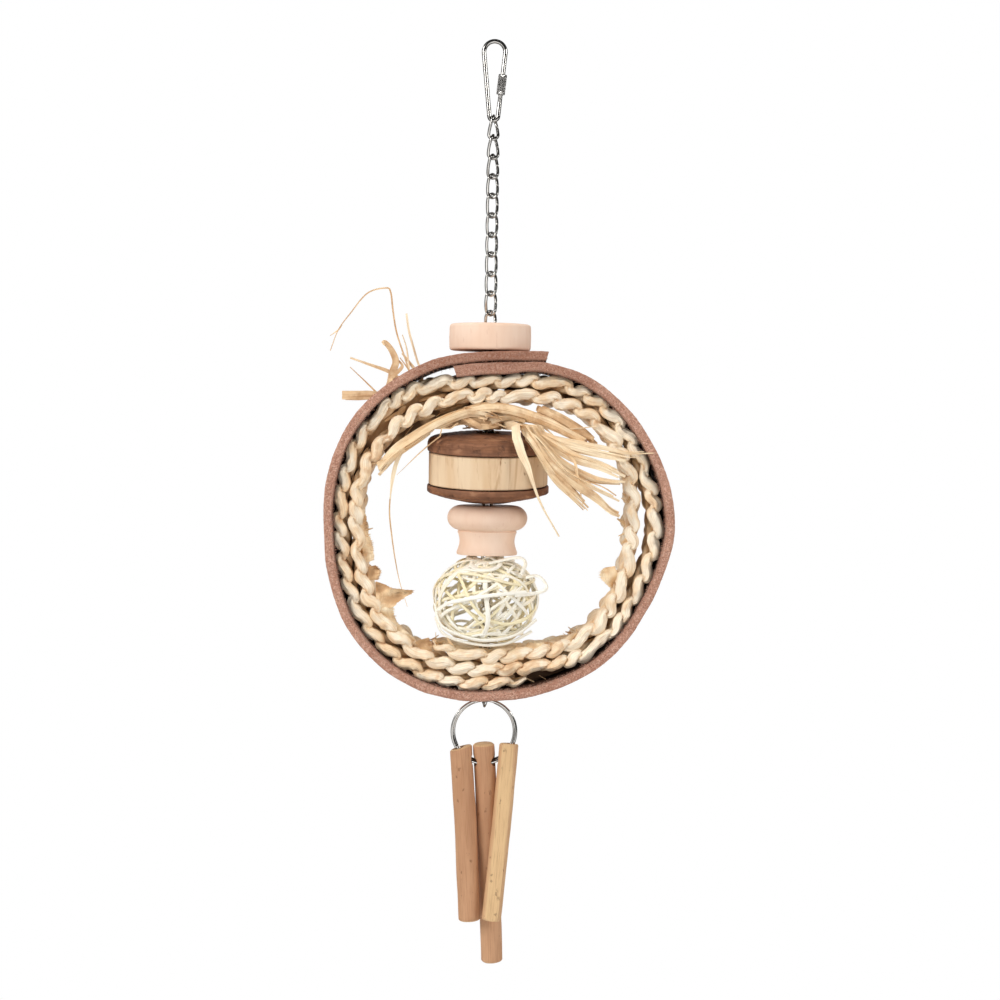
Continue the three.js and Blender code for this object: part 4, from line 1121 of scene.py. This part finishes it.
# bundles laid along the inner turn on each side of the knot: places, thickness, leaves, brownness
bundles = (
    (((-46.2, -11, -183.6), (-40, -11, -176.2), (-33, -11, -171), (-25.2, -11, -165.8), (-16.2, -10.5, -161.2),
      (-7.7, -10, -158.7), (1, -8, -160)), 5.8, 18, 0.3),
    (((-47.4, -12, -181.2), (-43, -13, -180), (-39.2, -13, -176.3), (-34, -13, -173.4)), 3.0, 5, 0.4),
    (((-12.1, -10, -159.2), (-0.8, -11, -156.6), (9, -12, -157.4), (18.7, -13, -160.3), (26.9, -13.5, -163.4),
      (33, -14, -166.4), (41, -14, -170)), 4.6, 15, 0.65),
    (((20.5, -11, -156.5), (27.5, -12, -159.5), (34, -12, -163), (40, -12, -166.5), (46, -12, -172)), 3.0, 9, 0.8),
    (((-3.1, -8, -164.7), (2.6, -10, -161.4), (9, -11, -160.3), (15.5, -12.5, -162)), 2.6, 6, 0.3),
    (((-19, -8, -164.4), (-13, -10, -162.2), (-7, -11, -161.6), (-1, -10, -163), (4, -8, -161.5)), 3.4, 9, 0.8),
    (((-12, -11, -161), (-6, -13, -163.4), (-2, -12, -165.4), (5, -9, -164)), 2.2, 5, 0.9),
)
# the broad strand that hangs in front, and loose threads: places, width, brownness
hanging = (
    (((5.9, -6, -164.6), (11.4, -24.5, -168.4), (14.2, -28, -175.6), (16.8, -29, -181.1), (18.9, -30, -187.4),
      (22.2, -30, -196), (30, -30, -209.8)), 4.0, 0.2),
    (((-12.9, -16, -163.3), (-26, -20, -173.6), (-38.4, -16, -185.5)), 0.5, 0.84),
    (((-38.8, -13, -180.7), (-40, -13, -186.4), (-41.4, -13.5, -199.3), (-40.4, -13.5, -210.6), (-37.2, -13.5, -228.4),
      (-33.2, -13.5, -241.3)), 0.6, 0.84),
    (((-36, -12.5, -174.5), (-38.4, -13.4, -179.6), (-40.2, -13.4, -187), (-41.2, -13.6, -196)), 1.7, 0.1),
)


def addKnotLoop(skin, rng, i):
    z = bow["knot"]
    turns = np.linspace(0, 2 * np.pi, bow["loopSteps"], endpoint=False)
    radius = rng.uniform(4.2, 6.3)
    lean, heading, rise = rng.normal(0, 0.28), rng.uniform(0, 6.3), rng.uniform(-1.7, 1.7)
    height = z + rise + radius * lean * np.cos(turns - heading)
    loop = np.stack([radius * np.cos(turns), radius * np.sin(turns), height], 1)
    loop += wobble(loop, 0.2, 0.5, i)
    loop[:, 2] = np.clip(loop[:, 2], z - bow["knotLow"], z + bow["knotHigh"])
    skin.sweep(loop, loop * [1, 1, 0], 0.3, rng.uniform(0.8, 1.5), 8, rng.uniform(0.5, 0.95), 0.75, meets=True)


def addFanLeaf(skin, rng, route, width, tone, tip, first):
    spread = rng.normal(0, 1, 3) * [0.5, 0.9, 1.2] * (not first)
    points = [np.array(p) + spread * min(1, 0.3 + 0.35 * n) for n, p in enumerate(route)]
    points[-1] = points[-2] + (points[-1] - points[-2]) * (1 if first else rng.uniform(0.55, 1.0))
    size = width * (1 if first else rng.uniform(0.4, 0.9))
    ribbon(skin, rng, points, size, tone + rng.normal(0, 0.12), tip=tip, **leafStyles["fan"])


def addBundleLeaf(skin, rng, route, thickness, tone, i, count):
    angle, share = 2.4 * i, thickness * math.sqrt((i + 0.5) / count)
    shift = np.array([0.2 * rng.normal(), 0.8 * share * math.cos(angle), 0.36 * share * math.sin(angle)])
    points = [np.array(p) + shift for p in route]
    points[0] = points[1] + (points[0] - points[1]) * rng.uniform(0.75, 1.05)
    points[-1] = points[-2] + (points[-1] - points[-2]) * rng.uniform(0.6, 1.05)
    ribbon(skin, rng, points, rng.uniform(1.7, 2.8), tone + rng.uniform(-0.2, 0.2), **leafStyles["bundle"])


def addLooseBit(skin, rng):
    middle = np.array([rng.uniform(-11, 7), rng.uniform(-14, -8), rng.uniform(-165, -158.5)])
    heading = unit(np.array([1, rng.normal(0, 0.5), rng.normal(0, 0.45)])) * rng.uniform(2, 4.5)
    points = [middle - heading, middle + rng.normal(0, 1.2, 3), middle + heading]
    ribbon(skin, rng, points, rng.uniform(0.6, 1.7), rng.uniform(0.3, 0.97), **leafStyles["loose"])


def bowSkin():
    rng = np.random.default_rng(bow["seed"])
    skin = Skin()
    for i in range(bow["loops"]):
        addKnotLoop(skin, rng, i)
    for route, width, count, tone, tip in fan:
        for i in range(count):
            addFanLeaf(skin, rng, route, width, tone, tip, i == 0)
    frontStrand, *threads = hanging
    ribbon(skin, rng, *frontStrand, **leafStyles["front"])
    for route, thickness, count, tone in bundles:
        for i in range(count):
            addBundleLeaf(skin, rng, route, thickness, tone, i, count)
    for i in range(bow["loose"]):
        addLooseBit(skin, rng)
    for thread in threads:
        ribbon(skin, rng, *thread, **leafStyles["thread"])
    return skin


# strips of the tuft behind the leather: places from where each shows, width, share of width at the tip, brownness
tuft = dict(root=(126, 1.6), behind=13.0, tuck=3.5, tuckBelow=-126, seed=41, strips=(
    (((-45.9, 18, -152.7), (-51.8, 19, -151.8), (-58.3, 19, -151.9), (-64.9, 19, -152)), 3.8, 0.95, 0.6),
    (((-46.2, 18.2, -153.6), (-51.8, 19.2, -152.6), (-58, 19.2, -153), (-63.2, 19.2, -153)), 2.2, 0.8, 0.8),
    (((-48.3, 18.5, -151.6), (-50.1, 19, -150.1), (-55.6, 19, -144.9), (-61.4, 19, -139.4)), 0.8, 0.4, 0.8),
    (((-41.3, 18.5, -143.2), (-44.9, 19, -140.9), (-53.2, 19, -138.1), (-61.5, 19, -135.3)), 1.6, 0.5, 0.5),
    (((-43.6, 18.5, -145.6), (-42.9, 19, -141.5), (-41.5, 19, -136.8), (-43.3, 19.3, -132.1), (-46.3, 19.3, -128.6),
      (-47.5, 19.3, -129.2)), 3.0, 0.6, 0.55),
    (((-41.3, 18.5, -142.1), (-38.5, 19, -138.5), (-41.5, 19, -135)), 1.8, 0.4, 0.6),
    (((-31.9, 18.5, -141.9), (-33.5, 19, -139.3), (-38.6, 19, -132.9)), 1.9, 0.5, 0.5),
    (((-30.8, 18.5, -139), (-32, 19, -136.3), (-34.2, 19, -129), (-35.8, 19, -123.1), (-37, 19, -115.5)),
     0.9, 1.0, 0.15),
    (((-35.5, 18.5, -140.8), (-37.1, 19, -136.1), (-41.1, 19, -124.4), (-43, 19, -114.4), (-44.2, 19, -106.3),
      (-46.4, 19, -104.5), (-54.3, 19, -106.9), (-61.8, 19, -115.9), (-66.9, 19, -123.2), (-70.4, 19, -132.5)),
     0.7, 0.5, 0.8),
    (((-65.3, 19, -120.7), (-66.9, 19, -123.2), (-70.5, 19, -125.7)), 0.6, 0.4, 0.8),
    (((-35.5, 18.5, -139.6), (-36.8, 19, -130.8), (-38.7, 19, -124.9)), 0.8, 0.4, 0.4),
    (((-34.9, 18.5, -141.4), (-36.1, 19, -139.6), (-39.7, 19, -135)), 0.9, 0.4, 0.8),
))


def tuftSkin():
    rng = np.random.default_rng(tuft["seed"])
    skin = Skin()
    degrees, quarters = tuft["root"]
    root = onHoop(float(plaitRadius(np.array(quarters))), degrees, tuft["behind"])
    for route, width, tip, tone in tuft["strips"]:
        start, second = np.array(route[:2])
        before = start - tuft["tuck"] * unit(second - start)
        tucked = [] if start[2] > tuft["tuckBelow"] else [root * 0.5 + before * 0.5, before]
        path = np.array([*tucked, *route])
        ribbon(skin, rng, path, width, tone, count=12 * len(path), tip=tip, **leafStyles["tuft"])
    return skin


makePiece("leaf_tie", bowSkin(), raffia, "hoop", ["leaf_bow"], 60)
makePiece("leaf_ends", tuftSkin(), raffia, "hoop", ["leaf_tuft"], 60)
print("leaf made")


# Vine ball: long strips wound over and under each other

ball = dict(diameter=49, strips=25, inside=2, ends=10, width=1.65, thick=0.95, pole=6.5, taller=1.2, lower=0.5,
            weave=0.75, play=1.6, steps=120, sides=10, square=0.8, seed=61)
# strands that stand off the ball in front
looseStrands = (
    ((16.8, -10, -228.5), (21.9, -11, -227.6), (25.1, -12, -230.5), (25.4, -13, -233), (21.2, -14, -234.6),
     (12, -21, -235.3)),
    ((-20.3, -13, -242.5), (-15.8, -19, -239.1), (-9.9, -22, -237.4), (-2.4, -24, -235.8), (5.9, -24, -234.6),
     (17, -18, -234)),
    ((1, -12, -222.6), (9.8, -10, -220.6), (14.6, -9.5, -220.2), (16.6, -10.5, -222.6), (14.6, -15, -227)),
    ((-21.4, -9, -246), (-18.4, -12, -252), (-11.4, -13, -255.3), (0.4, -12.8, -257.2), (10.5, -12.6, -255.8),
     (19.7, -11.5, -251)),
    ((-21.8, -10, -240), (-19, -13.5, -248.6), (-10.5, -15, -252.9), (0.4, -15.2, -254.9), (12.5, -14.8, -252.5),
     (21.5, -12, -246)),
)


def addVineStrip(skin, rng, i, middle, squash):
    b = ball
    turns = np.linspace(0, 2 * np.pi, b["steps"], endpoint=False)
    height = rng.uniform(-0.45, 0.45)
    heading = rng.uniform(0, 2 * np.pi)
    tilt = math.acos(rng.uniform(0.12, 1.0))
    if i >= b["strips"] + b["inside"]:  # small rounds near the two ends
        height = rng.uniform(0.7, 0.93) * (1 if i % 4 else -1)
        tilt = rng.uniform(0, 0.25)
    axis = np.array([math.sin(tilt) * math.cos(heading), math.sin(tilt) * math.sin(heading), math.cos(tilt)])
    first = unit(np.cross(axis, (0.3, 0.5, 0.8)))
    second = np.cross(axis, first)
    sway = height + 0.1 * np.sin(2 * turns + rng.uniform(0, 6.3)) + 0.06 * np.sin(3 * turns + rng.uniform(0, 6.3))
    ring = np.sqrt(1 - np.minimum(sway ** 2, 0.9))
    way = first * (ring * np.cos(turns))[:, None] + second * (ring * np.sin(turns))[:, None] + axis * sway[:, None]
    weave = b["weave"] * np.sin(rng.integers(3, 7) * turns + rng.uniform(0, 6.3))
    radius = b["diameter"] / 2 - b["thick"] / 2 - 0.4 - rng.uniform(0, b["play"]) + weave - b["weave"]
    if b["strips"] <= i < b["strips"] + b["inside"]:
        radius = radius * rng.uniform(0.6, 0.88)
    path = way * radius[:, None]
    fromAxis = np.maximum(np.hypot(path[:, 0], path[:, 1]), 1e-6)
    path[:, :2] *= np.maximum(1, b["pole"] / fromAxis)[:, None]
    path[:, 2] *= squash
    width = b["width"] * rng.uniform(0.75, 1.25)
    thick = b["thick"] * rng.uniform(0.8, 1.1)
    skin.sweep(path + middle, way * [1, 1, 1.4], thick / 2, width / 2, b["sides"], rng.uniform(0, 1), b["square"],
               meets=True)


def ballSkin():
    b = ball
    low, high = boxes["vine_ball"]
    middle = np.array([0, 0, (low[2] + high[2]) / 2 - b["lower"]])
    squash = (high[2] - low[2] + 2 * b["taller"]) / b["diameter"]
    rng = np.random.default_rng(b["seed"])
    skin = Skin()
    for i in range(b["strips"] + b["inside"] + b["ends"]):
        addVineStrip(skin, rng, i, middle, squash)
    for route in looseStrands:
        path = through(route, 60)
        skin.sweep(path, path - middle, b["thick"] / 2, b["width"] / 2, b["sides"], 0.1, b["square"])
    return skin


makePiece("vine_weave", ballSkin(), vine, "ball", ["vine_ball"], 60)
print("ball made")


# Sticks: peeled branches, cross-drilled for the ring

stickForm = dict(sides=40, rows=90, roundOff=0.16, slim=0.965, bump=0.05, fine=0.018, bend=0.25, channel=2.35)
sticks = {
    "left": dict(diameter=9.9, length=75.2, around=-46, lean=3.8, back=-1, hole=3.4, depth=0,
                 tone=0.05, flat=0, slant=0.45),
    "middle": dict(diameter=9.6, length=95.4, around=1.5, lean=3, back=4, hole=7.9, depth=1.1,
                   tone=0.1, flat=0, slant=0.0),
    "right": dict(diameter=8.5, length=75.3, around=52, lean=-4.9, back=-4, hole=3.4, depth=-1.1,
                  tone=0.55, flat=0.74, slant=0.1),
}


def stickSkin(size, seed):
    s = stickForm
    radius, length = size["diameter"] / 2, size["length"]
    phi = 2 * np.pi * np.arange(s["sides"]) / s["sides"]
    heights = np.concatenate([
        [0, 0.25, 0.7], np.linspace(1.4, length - 1.4, s["rows"]), [length - 0.7, length - 0.25, length],
    ])

    def bark(scale, along, h):
        return np.array([
            noise.noise(Vector((scale * math.cos(a), scale * math.sin(a), along * h + seed))) for a in phi
        ])

    rings, tones = [], []
    for h in heights:
        end = min(h, length - h)
        bump = bark(1.1, 0.045, h)
        shrink = 1 - s["roundOff"] * (1 - min(1, end / 0.8)) ** 2
        r = radius * shrink * (s["slim"] + s["bump"] * bump + s["fine"] * bark(4, 0.12, h))
        x, y = r * np.cos(phi), r * np.sin(phi)
        tone = np.full(s["sides"], size["tone"] + 0.15 * bump.mean())
        if size["flat"]:
            level = -size["flat"] * radius * (1 + 0.1 * noise.noise(Vector((0, seed, 0.06 * h))))
            tone = np.where(y < level, 0.95, tone)
            y = np.maximum(y, level)
        bend = s["bend"] * math.sin(math.pi * h / length)
        z = size["hole"] - h - size["slant"] * (radius - x) * 0.5 * max(0, 1 - h / 9)
        tones.append(np.where(end < 0.3, 0.8, tone))
        rings.append(np.stack([x + bend, y + size["depth"], 0 * x + z], 1))
    rings = np.array(rings) @ turnX(size["back"]).T @ turnY(-size["lean"]).T
    angle = math.radians(size["around"] - 90)
    skin = Skin()
    skin.loft(rings, np.array(tones))
    return skin.shift((splitRing["radius"] * math.cos(angle), 0, ringZ + splitRing["radius"] * math.sin(angle)))


# the way the ring takes through the sticks, as a cutting tool
def ringChannel():
    angle = np.linspace(0, 2 * np.pi, 90, endpoint=False)
    out = np.stack([np.cos(angle), 0 * angle, np.sin(angle)], 1)
    half = stickForm["channel"]
    tool = Skin()
    tool.sweep(out * splitRing["radius"] + [0, 0, ringZ], out, half, half, 20, 0.3, meets=True)
    return tool


for seed, (side, size) in enumerate(sticks.items()):
    branch = cutOut(f"branch_{side}", stickSkin(size, 3.7 * seed), ringChannel())
    makePiece(f"branch_{side}", branch, peeled, f"stick_{side}", [f"stick_{side}"], 50)
print("sticks made")


# Studio

studio = dict(eye=(4.8, -850, -163.8), aim=(4.8, 0, -163.8), drop=-0.0751, roll=0.91, lens=71.2,
              floor=-900, floorReach=4000, flagSide=620, flagNear=-420, flagFar=700, flagLow=-880, flagHigh=420,
              dark=(0.02, 0.02, 0.02, 1), white=(1, 1, 1, 1), bright=(0.9, 0.9, 0.9, 1), ambient=(0.48, 0.48, 0.49, 1))
# lamps: place in metres, size, watts
lamps = dict(key=((-1.15, -0.8, 0.4), 0.8, 13), fill=((1.15, -0.8, 0.3), 0.5, 6.5),
             top=((0, -0.2, 1.1), 1.0, 6), low=((0, -1.0, -1.0), 0.9, 2.5))
lampAim = (0, 0, -0.2)


# white to the camera; metal sees dark in front, bright from the left and white behind
def studioWorld():
    s = studio
    world = bpy.data.worlds.new("studio")
    bpy.context.scene.world = world
    w = Finish("studio", world)
    ways = w.node("ShaderNodeTexCoord", {}, {}, "Generated")
    side = w.mix(w.step(w.axis(ways, "X"), -0.7, -0.2), s["bright"], s["dark"])
    around = w.mix(w.step(w.axis(ways, "Y"), -0.1, 0.3), side, s["white"])
    seen = w.seenBy("Camera", "Transmission")
    colour = w.layers(s["ambient"], (seen, s["white"]), (w.ray("Glossy"), around))
    light = w.node("ShaderNodeBackground", {}, {"Color": colour, "Strength": 1.0})
    w.node("ShaderNodeOutputWorld", {}, {"Surface": light})


def studioSheet(name, corners, finish):
    mesh = bpy.data.meshes.new(name)
    mesh.from_pydata([np.array(c) * mm for c in corners], [], [(0, 1, 2, 3)])
    mesh.materials.append(finish)
    sheet = bpy.data.objects.new(name, mesh)
    bpy.context.collection.objects.link(sheet)
    return sheet


def floorFinish():
    f = Finish("pale_floor")
    seen = f.seenBy("Camera", "Glossy", "Transmission")
    matt = f.node("ShaderNodeBsdfDiffuse", {}, {"Color": studio["bright"]})
    white = f.node("ShaderNodeEmission", {}, {"Color": studio["white"], "Strength": 1.0})
    both = f.node("ShaderNodeMixShader", {}, {0: seen, 1: matt, 2: white})
    f.node("ShaderNodeOutputMaterial", {}, {"Surface": both})
    return f.owner


def flagFinish():
    f = Finish("dark_flag")
    black = f.node("ShaderNodeEmission", {}, {"Color": studio["dark"], "Strength": 1.0})
    f.node("ShaderNodeOutputMaterial", {}, {"Surface": black})
    return f.owner


def lamp(name, place, size, watts):
    data = bpy.data.lights.new(name, "AREA")
    data.shape = "DISK"
    data.size = size
    data.energy = watts
    item = bpy.data.objects.new(name, data)
    bpy.context.collection.objects.link(item)
    item.location = place
    item.rotation_euler = (Vector(lampAim) - Vector(place)).to_track_quat("-Z", "Y").to_euler()


def studioCamera():
    s = studio
    data = bpy.data.cameras.new("camera")
    data.lens = s["lens"]
    data.sensor_width = 36
    data.shift_y = s["drop"]
    data.clip_end = 20
    camera = bpy.data.objects.new("camera", data)
    bpy.context.collection.objects.link(camera)
    camera.location = Vector(s["eye"]) * mm
    look = (Vector(s["aim"]) - Vector(s["eye"])).to_track_quat("-Z", "Y")
    roll = Matrix.Rotation(math.radians(s["roll"]), 4, "Z")
    camera.rotation_euler = (look.to_matrix().to_4x4() @ roll).to_euler()
    bpy.context.scene.camera = camera


# the four corners of a level sheet
def levelSheet(left, right, near, far, z):
    return [(left, near, z), (right, near, z), (right, far, z), (left, far, z)]


# the four corners of an upright sheet at one side
def sideSheet(x, near, far, low, high):
    return [(x, near, low), (x, far, low), (x, far, high), (x, near, high)]


studioWorld()
reach, side = studio["floorReach"], studio["flagSide"]
near, far = studio["flagNear"], studio["flagFar"]
low, high = studio["flagLow"], studio["flagHigh"]
studioSheet("floor", levelSheet(-reach, reach, -reach, reach, studio["floor"]), floorFinish())
walls = (near, far, studio["floor"], high)
flags = dict(left=sideSheet(-side, *walls), right=sideSheet(side, *walls),
             high=levelSheet(-side, side, near, far, high), low=levelSheet(-side, side, near, far, low))
for name, corners in flags.items():
    flag = studioSheet(f"flag_{name}", corners, flagFinish())
    flag.visible_camera = flag.visible_diffuse = flag.visible_shadow = False
for name, values in lamps.items():
    lamp(name, *values)
studioCamera()
bpy.context.scene.view_settings.view_transform = "Standard"
print("studio made")
